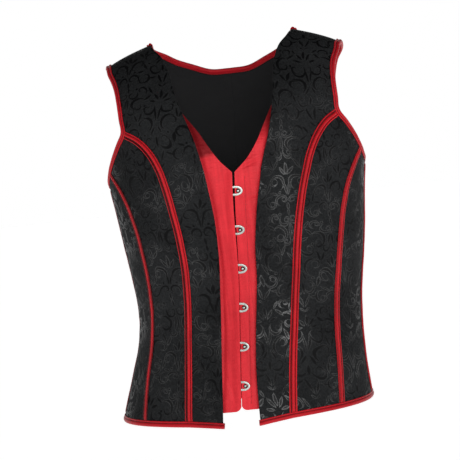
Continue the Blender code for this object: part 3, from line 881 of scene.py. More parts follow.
def brocade_material():
    """Black damask: dull ground of a fine rib, smooth satin figures that catch the light."""
    material, tree, shader = new_material("black_damask")
    across, up = uv_numbers(tree)
    place = object_vector(tree)
    wander = (noise(tree, place, 85.0, 2.0) - 0.5) * WANDER
    drift = (noise(tree, place, 17.0, 1.0) - 0.5) * DRIFT
    field = figure_field(tree, across + wander + drift, up + wander - drift)
    figure = field.ramped(FIGURE_SOFTNESS, -FIGURE_SOFTNESS)
    threads = noise(tree, vector_of(tree, across, up * 0.35), 2600.0, 1.0)
    clouds = noise(tree, place, 9.0, 3.0)
    rib = ((across * 0.55 + up) * (2 * math.pi / RIB_PITCH)).sine()
    mottle = noise(tree, place, 430.0, 2.0)
    ground_shade = (
        mottle.ramped(0.35, 0.65) * 0.45 + threads.ramped(0.30, 0.70) * 0.2 + clouds.ramped(0.3, 0.7) * 0.35
    )
    ground = blended(tree, ground_shade, GROUND_DARK, GROUND_LIGHT)
    colour = blended(tree, figure, ground, FIGURE_BLACK)
    tree.links.new(colour, shader.inputs["Base Color"])
    rough = figure.ramped(0.0, 1.0, 0.72, 0.50) + (threads - 0.5) * 0.10
    tree.links.new(rough.socket, shader.inputs["Roughness"])
    patches = noise(tree, place, 19.0, 2.0, 0.50).ramped(0.40, 0.64, 0.06, 1.0)
    hatch = noise(tree, vector_of(tree, across * 0.5, up), 620.0, 2.0).ramped(0.38, 0.60, 0.55, 1.0)
    outline = field.size().ramped(OUTLINE_WIDTH, OUTLINE_CORE)
    strokes = (field * (2 * math.pi / STROKE_PITCH)).sine().ramped(0.1, 0.9) * figure
    shine = (figure * 0.10 + outline * 0.50 + strokes * 0.14).smaller(1.0) * patches * hatch
    tree.links.new(shine.socket, shader.inputs["Coat Weight"])
    set_shader(shader, Specular_IOR_Level=0.06, Coat_Roughness=0.26, Coat_IOR=1.75)
    relief = figure * 0.55 + rib * figure.less_from(1.0) * 0.10 + threads * 0.30
    bumped(tree, shader, relief, DAMASK_DEPTH)
    return material


def lining_material():
    """Plain black cotton on the inside, with a fine twill."""
    material, tree, shader = new_material("black_lining")
    across, up = uv_numbers(tree)
    place = object_vector(tree)
    twill = ((across + up) * (2 * math.pi / TWILL_PITCH)).sine() * 0.5 + 0.5
    clouds = noise(tree, place, 14.0, 3.0)
    share = twill * 0.35 + clouds * 0.65
    tree.links.new(blended(tree, share, LINING_DARK, LINING_LIGHT), shader.inputs["Base Color"])
    set_shader(shader, Roughness=0.85, Specular_IOR_Level=0.2)
    bumped(tree, shader, twill * 0.5 + clouds * 0.5, LINING_DEPTH)
    return material


def satin_material(name, shade, light, ribs, shaded_grooves=(), painted_fold_shade=None):
    """Red satin: fine threads, a soft broad shine, slack ribs, and painted shade in its sewn grooves.

    A shaded groove is its place across, half its width and how strong its painted shade is. A painted
    fold shade is the slant, the height and the softness of the line above which the colour is painted
    darker, standing for the shade where the cloth turns under away from the light.
    """
    material, tree, shader = new_material(name)
    across, up = uv_numbers(tree)
    place = object_vector(tree)
    threads = noise(tree, vector_of(tree, across, up * 0.10), 2200.0, 2.0)
    clouds = noise(tree, place, 16.0, 3.0, 0.6)
    streaks = noise(tree, vector_of(tree, across, up * 0.05), 190.0, 2.0, 0.6)
    share = (
        threads.ramped(0.25, 0.75) * 0.2 + clouds.ramped(0.3, 0.7) * 0.45 + streaks.ramped(0.3, 0.7) * 0.35
    )
    colour = blended(tree, share, shade, light)
    # Painted shadow: the colour is darkened along each sewn groove, standing for the shade that falls in it
    for place_across, half_width, shadow_strength in shaded_grooves:
        groove_shadow_share = (across - place_across).size().ramped(half_width, half_width * 0.35) * shadow_strength
        colour = blended(tree, groove_shadow_share, colour, tuple(part * PAINTED_GROOVE_SHADE for part in shade))
    # Painted shade: above a slanted line on the vest the colour is darkened, standing for the shade where
    # the cloth turns under away from the light
    if painted_fold_shade is not None:
        slant, height, softness = painted_fold_shade
        sideways, _, upward = parts_of(tree, place)
        above = upward + sideways * slant + (clouds - 0.5) * PAINTED_FOLD_SHADE_WANDER
        turned = above.ramped(height - softness, height + softness, 0.0, PAINTED_FOLD_SHADE_STRENGTH)
        colour = blended(tree, turned, colour, tuple(part * PAINTED_FOLD_SHADE for part in shade))
    tree.links.new(colour, shader.inputs["Base Color"])
    rough = threads.ramped(0.2, 0.8, 0.36, 0.48)
    tree.links.new(rough.socket, shader.inputs["Roughness"])
    set_shader(shader, Specular_IOR_Level=0.5, Specular_Tint=SATIN_TINT)
    slack = noise(tree, vector_of(tree, across * 0.22, up), 400.0, 2.0)
    wrinkles = noise(tree, vector_of(tree, across * 0.16, up), 210.0, 2.0)
    relief = threads * 0.2 + slack * ribs + wrinkles * ribs + clouds * 0.5
    bumped(tree, shader, relief, SATIN_DEPTH)
    return material


def thread_material(name, colour):
    """Twisted sewing thread."""
    material, tree, shader = new_material(name)
    place = object_vector(tree)
    twist = noise(tree, place, 3200.0, 1.0)
    darker = tuple(part * 0.55 for part in colour)
    tree.links.new(blended(tree, twist, darker, colour), shader.inputs["Base Color"])
    set_shader(shader, Roughness=0.45, Specular_IOR_Level=0.4)
    bumped(tree, shader, twist, THREAD_DEPTH)
    return material


def steel_material(name, dull, bright):
    """Plated steel with a faint brushing and a few dull spots."""
    material, tree, shader = new_material(name)
    place = object_vector(tree)
    marks = noise(tree, place, 900.0, 2.0)
    spots = noise(tree, place, 240.0, 3.0, 0.7)
    share = spots.ramped(0.35, 0.75)
    tree.links.new(blended(tree, share, dull, bright), shader.inputs["Base Color"])
    rough = marks.ramped(0.2, 0.8, 0.26, 0.42)
    tree.links.new(rough.socket, shader.inputs["Roughness"])
    set_shader(shader, Metallic=1.0)
    bumped(tree, shader, marks, STEEL_DEPTH)
    return material


def satin_pair(name, rows):
    """The satins of the left and right side, from their shade, light, ribs, painted groove shade and painted
    fold shade.
    """
    return {word: satin_material(f"{name}_{word}", *row) for word, row in zip(SIDES, rows)}


BROCADE = brocade_material()
LINING = lining_material()
# Each side's last entry places its painted fold shade: slant, height and softness of its line
SATIN = satin_pair("red_satin", (
    ((0.45, 0.014, 0.021), (0.74, 0.030, 0.043), 0.75, (), (0.0, -0.148, 0.014)),
    ((0.45, 0.014, 0.021), (0.74, 0.030, 0.043), 0.75, (), (-0.16, -0.173, 0.004)),
))
# Groove entries here, in the side casings and in the binding place painted groove shade: place across, half
# width and strength. The right side's wider, stronger grooves are more painted shade, for light falling from
# one side.
CASING = satin_pair("princess_satin", (
    ((0.29, 0.004, 0.008), (0.55, 0.011, 0.019), 0.80, ((-0.0032, 0.0014, 0.9), (0.0030, 0.0010, 0.7))),
    ((0.28, 0.004, 0.008), (0.56, 0.011, 0.019), 0.80, ((-0.0030, 0.0021, 1.0), (0.0031, 0.0011, 0.75))),
))
# The right side's colours are darker than the left's: painted shade, for the side that faces away from the
# light
SIDE_CASING = satin_pair("side_casing_satin", (
    ((0.27, 0.004, 0.008), (0.49, 0.009, 0.016), 0.80, ((-0.0034, 0.0010, 0.5), (0.0024, 0.0010, 0.85))),
    ((0.22, 0.003, 0.006), (0.45, 0.008, 0.015), 0.80, ((-0.0032, 0.0024, 1.0), (0.0032, 0.0014, 0.8))),
))
# Its one groove entry is painted groove shade
BINDING = satin_material(
    "red_binding", (0.25, 0.003, 0.007), (0.50, 0.009, 0.017), 0.60, ((0.0, 0.0010, 0.6),)
)
# The red thread's dark colour is partly the thread's own dark red, partly painted shade of the grooves it
# lies in
RED_THREAD_WITH_GROOVE_SHADE = thread_material("red_thread_with_groove_shade", (0.120, 0.003, 0.006))
SATIN_THREAD = thread_material("satin_thread", (0.420, 0.010, 0.018))
STEEL = steel_material("busk_steel", (0.30, 0.33, 0.31), (0.44, 0.47, 0.44))
# Painted shadow: the flange's near-black red stands for the shade in the hole round each post's foot
FLANGE_SHADOW_STEEL = steel_material("busk_flange_painted_shadow", (0.016, 0.006, 0.006), (0.040, 0.013, 0.013))


# Sewing

STITCH_PITCH = 0.0027
STITCH_RADIUS = 0.00034
STITCH_STATIONS = (
    # share along the stitch, height of the thread's middle in mm
    (0.00, -0.55), (0.13, -0.10), (0.30, 0.10), (0.55, 0.12), (0.80, 0.02), (0.93, -0.20),
)
THREAD_SIDES = 6


def along_line(wanted, lengths, rows):
    """Rows of three numbers at wanted lengths along a line."""
    return np.stack([np.interp(wanted, lengths, rows[:, c]) for c in range(3)], axis=-1)


def stitch_line(points, normals):
    """Cross sections of one sewn thread that dips into the cloth between its stitches."""
    lengths = lengths_along(points)
    count = max(int(lengths[-1] / STITCH_PITCH), 1)
    pitch = lengths[-1] / count
    stations, heights = np.array(STITCH_STATIONS).T
    wanted = np.append(np.arange(count)[:, None] + stations, count) * pitch
    heights = np.append(np.tile(heights, count), heights[0]) * MILLIMETRE
    middles = along_line(wanted, lengths, points)
    outward = unit(along_line(wanted, lengths, normals))
    across = unit(np.cross(np.gradient(middles, axis=0), outward))
    middles = middles + outward * heights[:, None]
    turns = np.linspace(0.0, 2 * math.pi, THREAD_SIDES, endpoint=False)
    wheel = outward[:, None] * np.sin(turns)[:, None] + across[:, None] * np.cos(turns)[:, None]
    return middles[:, None] + wheel * STITCH_RADIUS


def stitches(name, lines, material):
    """One piece that holds rows of stitches, each given as points and the directions out from them."""
    bm = bmesh.new()
    for points, normals in lines:
        sections = stitch_line(points, normals)
        flat = np.zeros((len(sections), THREAD_SIDES + 1, 2))
        row = tube_wall(sections, flat)
        mesh = bpy.data.meshes.new("row")
        row.to_mesh(mesh)
        row.free()
        bm.from_mesh(mesh)
        bpy.data.meshes.remove(mesh)
    return finish_piece(name, bm, (material,), None)


def surface_line(side, places, out):
    """Points of a line on the shell and the directions out from it."""
    points = shell(side, places, out)
    return points, unit(shell(side, places, out + MILLIMETRE) - points)


# Cloth panels

PUCKER_SPAN = 0.018
PUCKER_START = 0.006
PUCKER_DEPTH = 0.00035
PUCKER_PHASES = (0.0, 2.3)
PUCKER_WAVE = (420.0, 3.0, 61.0)
PUCKER_PATCHES = 47.0


def puckers(spots, points):
    """Small uneven ripples where the cloth is drawn in beside its seams."""
    across = np.linalg.norm(np.diff(points, axis=1), axis=-1)
    travelled = np.concatenate((np.zeros((len(points), 1)), np.cumsum(across, axis=1)), axis=1)
    up = lengths_along(points[:, points.shape[1] // 2])[:, None]
    out = np.zeros(travelled.shape)
    own = spots[0, 0, 0]
    for away, phase in zip((travelled, travelled[:, -1:] - travelled), PUCKER_PHASES):
        near = np.clip(1.0 - (away - PUCKER_START) / PUCKER_SPAN, 0.0, 1.0)
        near = near * np.clip(away / PUCKER_START, 0.0, 1.0)
        wave = uneven_wave(up, *PUCKER_WAVE, phase, phase + own)
        patchy = 0.5 + 0.5 * np.sin(up * PUCKER_PATCHES + phase * 2.0 + own)
        out += PUCKER_DEPTH * near * near * wave * patchy
    return out


def panel(name, side, spots, lean, offset):
    """A damask panel laid on rows of places, with its grain upright."""
    base = shell(side, spots, CLOTH)
    ripple = puckers(spots, base)
    outer = shell(side, spots, CLOTH + ripple)
    inner = shell(side, spots, ripple)
    flat = unrolled(base, lean)
    bm = grid_wall(outer, inner, flat + np.array(offset))
    round_rims(bm, EDGE_ROUNDING)
    piece = finish_piece(f"{name}_cloth", bm, (BROCADE, LINING), name)


# Casings and bindings

CASING_PROFILE = (
    # share of the width from the middle, height over the cloth in mm
    (-0.500, 0.05), (-0.502, 0.85), (-0.480, 1.35), (-0.430, 1.70), (-0.375, 1.60), (-0.335, 1.10),
    (-0.300, 0.35), (-0.255, 0.15), (-0.210, 0.35), (-0.175, 1.25), (-0.120, 2.00), (-0.045, 2.40),
    (0.045, 2.40), (0.120, 2.00), (0.175, 1.25), (0.210, 0.35), (0.250, 0.15), (0.290, 0.35),
    (0.325, 1.10), (0.365, 1.60), (0.425, 1.70), (0.480, 1.35), (0.502, 0.85), (0.500, 0.05),
)
CASING_GROOVE = 0.262
CASING_WAVE = (190.0, 2.0, 53.0)


def casing(name, side, seam, width, height_share, material):
    """A padded satin strip over a seam: two turned edges and the tube of the bone between them."""
    lengths = lengths_along(shell(side, seam, CLOTH))
    end = BINDING_WIDTH + CASING_GAP
    rise = np.clip(np.minimum(lengths - end, lengths[-1] - end - lengths) / TUCK_FADE, 0.0, 1.0)
    rise = height_share * mix(TUCKED_SHARE, 1.0, eased(rise))
    wobble = 1.0 + STRIP_WOBBLE * uneven_wave(lengths, *CASING_WAVE) * rise
    sections = np.zeros((len(seam), len(CASING_PROFILE), 3))
    for number, (share, height) in enumerate(CASING_PROFILE):
        leaned = share + side * CASING_LEAN if abs(share) < CASING_GROOVE else share
        line = inset(seam, width * leaned)
        sections[:, number] = shell(side, line, CLOTH + HUG + height * MILLIMETRE * rise * wobble)
    keep = (lengths > end - TUCK) & (lengths < lengths[-1] - end + TUCK)
    sections = sections[keep]
    lengths = lengths[keep]
    around = side * width * np.array([share for share, _ in (*CASING_PROFILE, CASING_PROFILE[0])])
    flat = np.stack(np.broadcast_arrays(around, lengths[:, None]), axis=-1)
    bm = tube_wall(sections, flat)
    piece = finish_piece(f"{name}_satin", bm, (material,), name)
    visible = float(lengths_along(sections[len(sections) // 2])[-1])
    (visible + width) / 2
    rows = [
        surface_line(side, inset(seam, width * share)[keep], CLOTH + HUG + SEWN_GROOVE_OUT)
        for share in (-CASING_GROOVE, CASING_GROOVE)
    ]
    stitches(f"{name}_stitching", rows, RED_THREAD_WITH_GROOVE_SHADE)


BINDING_PROFILE = (
    # share of the width in from the edge, distance out from the worn shape in mm
    (1.00, 2.15), (1.02, 2.75), (0.985, 3.20), (0.90, 3.55), (0.81, 3.55), (0.73, 3.25), (0.67, 2.72),
    (0.61, 2.68), (0.55, 3.20), (0.46, 3.75), (0.34, 4.05), (0.20, 4.05), (0.06, 3.75), (-0.07, 3.15),
    (-0.16, 2.30), (-0.20, 1.20), (-0.17, 0.10), (-0.10, -0.90), (0.04, -1.60), (0.25, -2.00),
    (0.50, -2.15), (0.75, -2.05), (0.95, -1.70), (1.00, -1.20), (1.00, -0.35),
    (0.40, -0.35), (-0.045, -0.35), (-0.045, 0.90), (-0.045, 2.15), (0.40, 2.15),
)
BINDING_FLAT = 2.2
BINDING_OVERLAP = 0.002
BINDING_GROOVE = 0.64
BINDING_GROOVE_OUT = 0.00285
BINDING_GROOVE_STATION = 7
BINDING_WAVE = (330.0, 2.0, 71.0)
STUB_LENGTH = 0.0060
STUB_RISE = 0.75
STUB_STEP = 0.0004
STUB_REACH = 0.0018


def binding(name, side, edge, closed=False, stubs=("start", "end")):
    """A strip folded round an edge of the shell and stitched down near its inner fold.

    A stub is the thicker place where an end of the strip is folded under.
    """
    width = BINDING_WIDTH
    lengths = lengths_along(shell(side, edge, CLOTH))
    ripple = 1.0 + STRIP_WOBBLE * uneven_wave(lengths, *BINDING_WAVE)
    for stub in stubs:
        away = lengths if stub == "start" else lengths[-1] - lengths
        ripple = ripple + STUB_RISE / (1.0 + np.exp((away - STUB_LENGTH) / STUB_STEP))
    sections = np.zeros((len(edge), len(BINDING_PROFILE), 3))
    for number, (share, out) in enumerate(BINDING_PROFILE):
        line = inset(edge, width * share, closed)
        puffed = max(out - BINDING_FLAT, 0.0) * ripple + min(out, BINDING_FLAT)
        sections[:, number] = shell(side, line, puffed * MILLIMETRE)
    if closed:
        sections = np.concatenate((sections, sections[:1]))
        step = np.linalg.norm(sections[-1, 0] - sections[-2, 0])
        lengths = np.append(lengths, lengths[-1] + step)
    steps = lengths_along(sections[len(sections) // 2])
    around = np.append(steps, steps[-1] + BINDING_OVERLAP) - steps[BINDING_GROOVE_STATION]
    flat = np.stack(np.broadcast_arrays(around, lengths[:, None]), axis=-1)
    bm = tube_wall(sections, flat, closed)
    piece = finish_piece(f"{name}_satin", bm, (BINDING,), name)
    groove = inset(edge, width * BINDING_GROOVE, closed)
    if closed:
        groove = np.concatenate((groove, groove[:1]))
    sewn = surface_line(side, groove, BINDING_GROOVE_OUT)
    stitches(f"{name}_stitching", [sewn], RED_THREAD_WITH_GROOVE_SHADE)


# Under fronts


def meeting_shift(heights):
    """How far round the meeting line lies at some heights."""
    fine = np.linspace(MEETING_SHIFT[0][0], MEETING_SHIFT[-1][0], MEETING_STEPS)
    return np.interp(heights, fine, [looked_up(MEETING_SHIFT, height)[0] for height in fine])


def under_surface(side, places, out):
    """Points of a satin under front, places taken before the meeting line's shift.

    It has creases, the busk's channel, a lifted meeting edge and a dip behind the black front edge.
    """
    distance = np.abs(places[..., 0] - UNDER_MEETING[0][0]) * CENTRE_METRES_PER_DEGREE
    low = np.clip((CHANNEL_TOP - places[..., 1]) / CHANNEL_FADE, 0.0, 1.0)
    if side > 0:
        busk = CHANNEL_HEIGHT * np.clip((CHANNEL - distance) / CHANNEL_SLOPE, 0.0, 1.0)
        away = (distance - CHANNEL - CHANNEL_GROOVE_AWAY) / CHANNEL_GROOVE_WIDTH
        busk = busk - CHANNEL_HEIGHT * np.exp(-away ** 2)
    else:
        busk = BUSK_LIFT * eased(np.clip((CHANNEL - distance) / (CHANNEL - BUSK_LIFT_FLAT), 0.0, 1.0))
    edge = front_edge_angle(places[..., 1])
    behind = (places[..., 0] - edge) * METRES_PER_DEGREE
    dip = -EDGE_DIP * np.exp(-(behind / EDGE_DIP_WIDTH) ** 2)
    up = places[..., 1]
    dip = dip - RECESS * eased(np.clip((up - RECESS_START) / RECESS_SPAN, 0.0, 1.0))
    patchy = 0.5 + 0.5 * np.sin(up * RIPPLE_PATCHES[0] + distance * RIPPLE_PATCHES[1] + side)
    slanted = RIPPLE_SLANT * distance * np.sin(up * RIPPLE_SLANT_PACE)
    wave = uneven_wave(up, *RIPPLE_WAVE, side, slanted)
    dip = dip + RIPPLE * wave * patchy * np.clip(distance / RIPPLE_FADE, 0.0, 1.0)
    faded = np.clip(1.0 - distance / (UNDER_HIDDEN[0][0] * CENTRE_METRES_PER_DEGREE), 0.0, 1.0)
    moved = places.copy()
    moved[..., 0] = places[..., 0] + side * meeting_shift(up) * faded
    return off_body(side, moved, out + busk * low + dip + creased(side, places, SATIN_CREASES))


def under_front(word, side, meeting, hidden):
    """A satin under front with its V neck, its busk channel and a rounded lower corner."""
    name = f"under_front_{word}"
    shares = np.linspace(0.0, 1.0, COLUMNS["under_front"] + 1) ** UNDER_COLUMN_POWER
    spots = mix(meeting[:, None, :], hidden[:, None, :], shares[None, :, None])
    from_edge = np.clip(1.0 - spots[0, :, 0] * CENTRE_METRES_PER_DEGREE / UNDER_CORNER, 0.0, 1.0)
    corner = UNDER_CORNER * (1.0 - np.sqrt(1.0 - from_edge ** 2))
    fade = np.clip(1.0 - np.arange(len(spots)) / (UNDER_ROWS * UNDER_CORNER_SHARE), 0.0, 1.0)
    spots[:, :, 1] += (corner + UNDER_RAISE[word]) * fade[:, None]
    outer = under_surface(side, spots, -UNDER_DEPTH)
    inner = under_surface(side, spots, -UNDER_DEPTH - UNDER_CLOTH)
    flat = unrolled(outer, 0.0)
    bm = grid_wall(outer, inner, flat)
    round_rims(bm, EDGE_ROUNDING)
    piece = finish_piece(f"{name}_satin", bm, (SATIN[word], LINING), name)


def channel_sewing(name, side):
    """The row of stitches beside the channel that holds the busk's posts."""
    heights = np.linspace(UNDER_MEETING[0][1] + UNDER_SEWING[0], UNDER_SEWING[1], SEWING_STEPS)
    degrees = (CHANNEL + CHANNEL_GROOVE_AWAY) / CENTRE_METRES_PER_DEGREE + UNDER_MEETING[0][0]
    line = np.stack((np.full(SEWING_STEPS, degrees), heights), axis=-1)
    points = under_surface(side, line, UNDER_SEWING_OUT - UNDER_DEPTH)
    above = under_surface(side, line, UNDER_SEWING_OUT - UNDER_DEPTH + MILLIMETRE)
    stitches(name, [(points, unit(above - points))], SATIN_THREAD)


# Busk


def busk_frame(number, across):
    """Centre, sideways, upward and outward directions of a busk fastening."""
    height = BUSK_TOP - BUSK_PITCH * number
    round_about, upward = tangents(np.array(0.0), np.array(height))
    angle = across / float(np.linalg.norm(round_about)) + float(meeting_shift(height))
    place = np.array((angle, height))
    centre = Vector(off_body(1.0, place, -UNDER_DEPTH))
    outward = (Vector(off_body(1.0, place, 1.0)) - Vector(off_body(1.0, place, 0.0))).normalized()
    upward = Vector(upward).normalized()
    return centre, upward.cross(outward).normalized(), upward, outward


def loop_outline(left, right, half_height, bend):
    """A plate's outline: square at its root, round at its free end."""
    outline = [(left, half_height), (left, 0.0), (left, -half_height)]
    for step in range(LOOP_ARC_STEPS + 1):
        angle = math.radians(-90.0 + 180.0 * step / LOOP_ARC_STEPS)
        outline.append((right - bend + bend * math.cos(angle), half_height * math.sin(angle)))
    return outline


def busk_loop(number):
    """A flat steel loop with softened edges, rooted in the right under front."""
    centre, sideways, upward, outward = busk_frame(number, LOOP_REACH / 2)
    left = -LOOP_REACH / 2 - LOOP_ROOT
    bm = bmesh.new()
    for outline in (
        loop_outline(left, LOOP_REACH / 2, LOOP_HALF_HEIGHT, LOOP_BEND),
        loop_outline(
            left + LOOP_BAR, LOOP_REACH / 2 - LOOP_RIM, LOOP_HALF_HEIGHT - LOOP_RIM, LOOP_BEND - LOOP_RIM
        ),
    ):
        points = [
            bm.verts.new(centre + sideways * x + upward * z + outward * LOOP_ABOVE_CLOTH) for x, z in outline
        ]
        for index, point in enumerate(points):
            bm.edges.new((point, points[index - 1]))
    bmesh.ops.bridge_loops(bm, edges=bm.edges[:])
    moved = [item for item in grown_from(bm) if isinstance(item, bmesh.types.BMVert)]
    bmesh.ops.translate(bm, verts=moved, vec=outward * LOOP_THICKNESS)
    bmesh.ops.recalc_face_normals(bm, faces=bm.faces[:])
    round_rims(bm, LOOP_ROUNDING, 3)
    name = f"busk_loop_{number + 1}"
    finish_piece(f"{name}_steel", bm, (STEEL,), name)


POST_PROFILE = (
    # radius and height over the satin, in mm
    (0.00, 0.30), (2.90, 0.30), (3.05, 0.45), (3.00, 0.57), (1.60, 0.60), (1.30, 0.72), (1.25, 1.55),
    (1.60, 1.66), (1.95, 1.86), (2.00, 2.06), (1.90, 2.40), (1.60, 2.72), (1.10, 2.94), (0.50, 3.03),
    (0.00, 3.05),
)
POST_FLANGE_TOP = 0.00150


def busk_post(number):
    """A round post with a broad low domed head, standing in its loop."""
    centre, sideways, _, outward = busk_frame(number, POST_OFFSET)
    bm = bmesh.new()
    points = [
        bm.verts.new(centre + (sideways * radius + outward * out) * MILLIMETRE)
        for radius, out in POST_PROFILE
    ]
    edges = [bm.edges.new(pair) for pair in zip(points, points[1:])]
    bmesh.ops.spin(
        bm, geom=points + edges, cent=centre, axis=outward, angle=2 * math.pi, steps=POST_STEPS,
        use_merge=True,
    )
    bmesh.ops.remove_doubles(bm, verts=bm.verts[:], dist=MERGE)
    bmesh.ops.recalc_face_normals(bm, faces=bm.faces[:])
    # The flange faces at the post's foot take the painted shadow material
    for face in bm.faces:
        if (face.calc_center_median() - centre).dot(outward) < POST_FLANGE_TOP:
            face.material_index = 1
    name = f"busk_post_{number + 1}"
    finish_piece(f"{name}_steel", bm, (STEEL, FLANGE_SHADOW_STEEL), name)


# The two halves

PATTERN_STARTS = {
    # where each panel's cut starts in the repeat, across and up
    "front_left": (0.000, 0.012), "front_right": (0.026, 0.048),
    "side_front_left": (0.000, 0.035), "side_front_right": (0.031, 0.006),
    "side_left": (0.012, 0.070), "side_right": (0.036, 0.028),
    "side_back_left": (0.020, 0.015), "side_back_right": (0.008, 0.055),
    "back_left": (0.034, 0.000), "back_right": (0.005, 0.041),
}


def build_half(word, side):
    """Make all the pieces of one side of the vest and return its half of the neckline."""
    front_edge = np.concatenate((
        trace(FRONT_EDGE, BODY_ROWS, 0, FRONT_EDGE_YOKE), trace(FRONT_EDGE, YOKE_ROWS, FRONT_EDGE_YOKE)[1:]
    ))
    front_edge[-1:] = shifted(front_edge[-1:], SEAM_OVERLAP)
    levels, right_shift, left_shift = np.array(EDGE_SHIFT).T
    front_edge[:, 0] += np.interp(front_edge[:, 1], levels, left_shift if side > 0 else right_shift)
    seams = {
        "princess": trace(PRINCESS, BODY_ROWS),
        "side_front": trace(SIDE_FRONT, BODY_ROWS),
        "side": trace(SIDE, BODY_ROWS),
        "side_back": trace(SIDE_BACK, BODY_ROWS),
    }
    before = {name: shifted(seam, SEAM_OVERLAP) for name, seam in seams.items()}
    after = {name: shifted(seam, -SEAM_OVERLAP) for name, seam in seams.items()}
    arm_front = trace(ARMHOLE, YOKE_ROWS, 0, AT_PRINCESS)[::-1]
    arm_back = trace(ARMHOLE, YOKE_ROWS, AT_SIDE_BACK, AT_SHOULDER)
    neckline = trace(NECKLINE, NECK_ROWS)
    centre = shifted(np.concatenate((
        trace(CENTRE_BACK, BODY_ROWS, 0, CENTRE_BACK_NAPE),
        trace(CENTRE_BACK, YOKE_ROWS - NECK_ROWS, CENTRE_BACK_NAPE)[1:],
    )), SEAM_OVERLAP)
    front_outer = np.concatenate((
        before["princess"], arm_front[1:-1], shifted(arm_front[-1:], SEAM_OVERLAP)
    ))
    back_outer = np.concatenate((
        after["side_back"], arm_back[1:-1], shifted(arm_back[-1:], -SEAM_OVERLAP)
    ))
    back_inner = np.concatenate((centre, neckline[1:-1], shifted(neckline[-1:], -SEAM_OVERLAP)))

    spots = {"front": lattice(COLUMNS["front"], front_edge, front_outer)}
    for name, ahead, start, end in (
        ("side_front", "princess", AT_PRINCESS, AT_SIDE_FRONT),
        ("side", "side_front", AT_SIDE_FRONT, AT_SIDE),
        ("side_back", "side", AT_SIDE, AT_SIDE_BACK),
    ):
        top = trace(ARMHOLE, COLUMNS[name], start, end)
        spots[name] = lattice(COLUMNS[name], after[ahead], before[name], top)
    spots["back"] = lattice(COLUMNS["back"], back_outer, back_inner)
    for name, rows in spots.items():
        lean = {"front": 1.0, "back": -1.0}.get(name, 0.0)
        panel(f"{name}_{word}", side, rows, lean, PATTERN_STARTS[f"{name}_{word}"])

    for name, widths, height_share, material in (
        ("princess", PRINCESS_WIDTH, 1.0, CASING),
        ("side_front", SIDE_CASING_WIDTH, SIDE_CASING_HEIGHT, SIDE_CASING),
        ("side", SIDE_CASING_WIDTH, SIDE_CASING_HEIGHT, SIDE_CASING),
    ):
        casing(f"{name}_casing_{word}", side, seams[name], widths[word], height_share, material[word])
    meeting = np.concatenate((trace(UNDER_MEETING, UNDER_ROWS), trace(UNDER_V, UNDER_V_ROWS)[1:]))
    hidden = np.concatenate((
        trace(UNDER_HIDDEN, UNDER_ROWS, 0, UNDER_HIDDEN_V),
        trace(UNDER_HIDDEN, UNDER_V_ROWS, UNDER_HIDDEN_V)[1:],
    ))
    under_front(word, side, meeting, hidden)
    if side > 0:
        channel_sewing(f"under_front_{word}_stitching", side)

    binding(f"armhole_binding_{word}", side, trace(ARMHOLE, ARMHOLE_STEPS)[:-1], closed=True)
    hem = np.concatenate([rows[0] if name == "front" else rows[0, 1:] for name, rows in spots.items()])
    hem = np.concatenate((shifted(hem[:1], -STUB_REACH), hem))[::-1]
    binding(f"hem_binding_{word}", side, hem, stubs=("end",))
    return neckline


def neck_edge(neckline):
    """The line round the back of the neck, from one shoulder to the other."""
    other = neckline[1:].copy()
    other[:, 0] = 360.0 - other[:, 0]
    return np.concatenate((neckline[::-1], other))


for side_word, side_sign in SIDES.items():
    half_neckline = build_half(side_word, side_sign)
binding("neck_binding", 1.0, neck_edge(half_neckline))
for fastening in range(BUSK_STEPS):
    busk_loop(fastening)
    busk_post(fastening)


# Camera, floor and light

WHITE = (1.0, 1.0, 1.0)
FLOOR_DARK = (0.90, 0.90, 0.90)
FLOOR_LIGHT = (0.94, 0.94, 0.94)
FLOOR_GLOW = 0.78
FRONT_RIGHT = 0.80
FRONT_LEFT = 1.38
BACK_HORIZON = 1.0
OVERHEAD = 0.06
LIGHT_PLACE = (0.60, -3.0, 0.10)
LIGHT_SIZE = 1.3
LIGHT_POWER = 30.0


def add_camera():
    """The camera at the photograph's angle."""
    azimuth, elevation, roll = (math.radians(a) for a in (CAMERA_AZIMUTH, CAMERA_ELEVATION, CAMERA_ROLL))
    level_share = math.cos(elevation)
    back = Vector((
        math.sin(azimuth) * level_share, -math.cos(azimuth) * level_share, math.sin(elevation)
    ))
    level = (-back).cross(Vector((0.0, 0.0, 1.0))).normalized()
    rise = level.cross(-back)
    right = level * math.cos(roll) + rise * math.sin(roll)
    up = rise * math.cos(roll) - level * math.sin(roll)
    data = bpy.data.cameras.new("camera")
    data.sensor_width = SENSOR_MM
    data.lens = FOCAL_PIXELS * SENSOR_MM / IMAGE_SIZE
    data.shift_x = (IMAGE_SIZE / 2 - TARGET_PIXEL[0]) / IMAGE_SIZE
    data.shift_y = (TARGET_PIXEL[1] - IMAGE_SIZE / 2) / IMAGE_SIZE
    camera = bpy.data.objects.new("camera", data)
    bpy.context.scene.collection.objects.link(camera)
    turn = Matrix((right, up, back)).transposed().to_4x4()
    camera.matrix_world = Matrix.Translation(CAMERA_TARGET + back * CAMERA_DISTANCE) @ turn
    bpy.context.scene.camera = camera


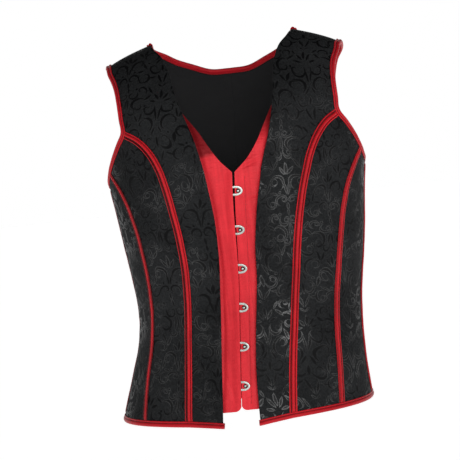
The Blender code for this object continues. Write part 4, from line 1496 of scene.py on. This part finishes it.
def add_light():
    """A square soft light that faces the vest."""
    data = bpy.data.lights.new("front_light", "AREA")
    data.shape = "SQUARE"
    data.size = LIGHT_SIZE
    data.energy = LIGHT_POWER
    light = bpy.data.objects.new("front_light", data)
    bpy.context.scene.collection.objects.link(light)
    light.location = LIGHT_PLACE
    light.rotation_euler = (Vector(LIGHT_PLACE) - CAMERA_TARGET).to_track_quat("Z", "Y").to_euler()


def add_floor():
    """A plain pale floor that reaches past the view."""
    bm = bmesh.new()
    bmesh.ops.create_circle(bm, cap_ends=True, segments=64, radius=FLOOR_RADIUS)
    bmesh.ops.translate(bm, verts=bm.verts[:], vec=(0.0, 0.0, FLOOR_HEIGHT))
    mesh = bpy.data.meshes.new("floor")
    bm.to_mesh(mesh)
    bm.free()
    floor = bpy.data.objects.new("floor", mesh)
    bpy.context.scene.collection.objects.link(floor)
    material, tree, shader = new_material("pale_floor")
    grain = noise(tree, object_vector(tree), 3.0, 2.0)
    tree.links.new(blended(tree, grain, FLOOR_DARK, FLOOR_LIGHT), shader.inputs["Base Color"])
    set_shader(
        shader, Roughness=0.9, Specular_IOR_Level=0.1, Emission_Color=(*WHITE, 1.0),
        Emission_Strength=FLOOR_GLOW,
    )
    mesh.materials.append(material)


def add_world():
    """Surroundings that are white near the horizon and dark overhead."""
    world = bpy.data.worlds.new("surroundings")
    bpy.context.scene.world = world
    world.use_nodes = True
    tree = world.node_tree
    background = tree.nodes["Background"]
    direction = tree.nodes.new("ShaderNodeTexCoord").outputs["Generated"]
    sideways, forward, upward = parts_of(tree, direction)
    front = sideways.ramped(-0.75, 0.35, FRONT_RIGHT, FRONT_LEFT)
    share = forward.ramped(-0.6, 0.2)
    horizon = front * share.less_from(1.0) + share * BACK_HORIZON
    overhead = upward.size().ramped(0.18, 0.62, 1.0, OVERHEAD)
    background.inputs["Color"].default_value = (*WHITE, 1.0)
    tree.links.new((horizon * overhead).socket, background.inputs["Strength"])


add_camera()
add_floor()
add_world()
add_light()
bpy.context.scene.view_settings.view_transform = "Standard"
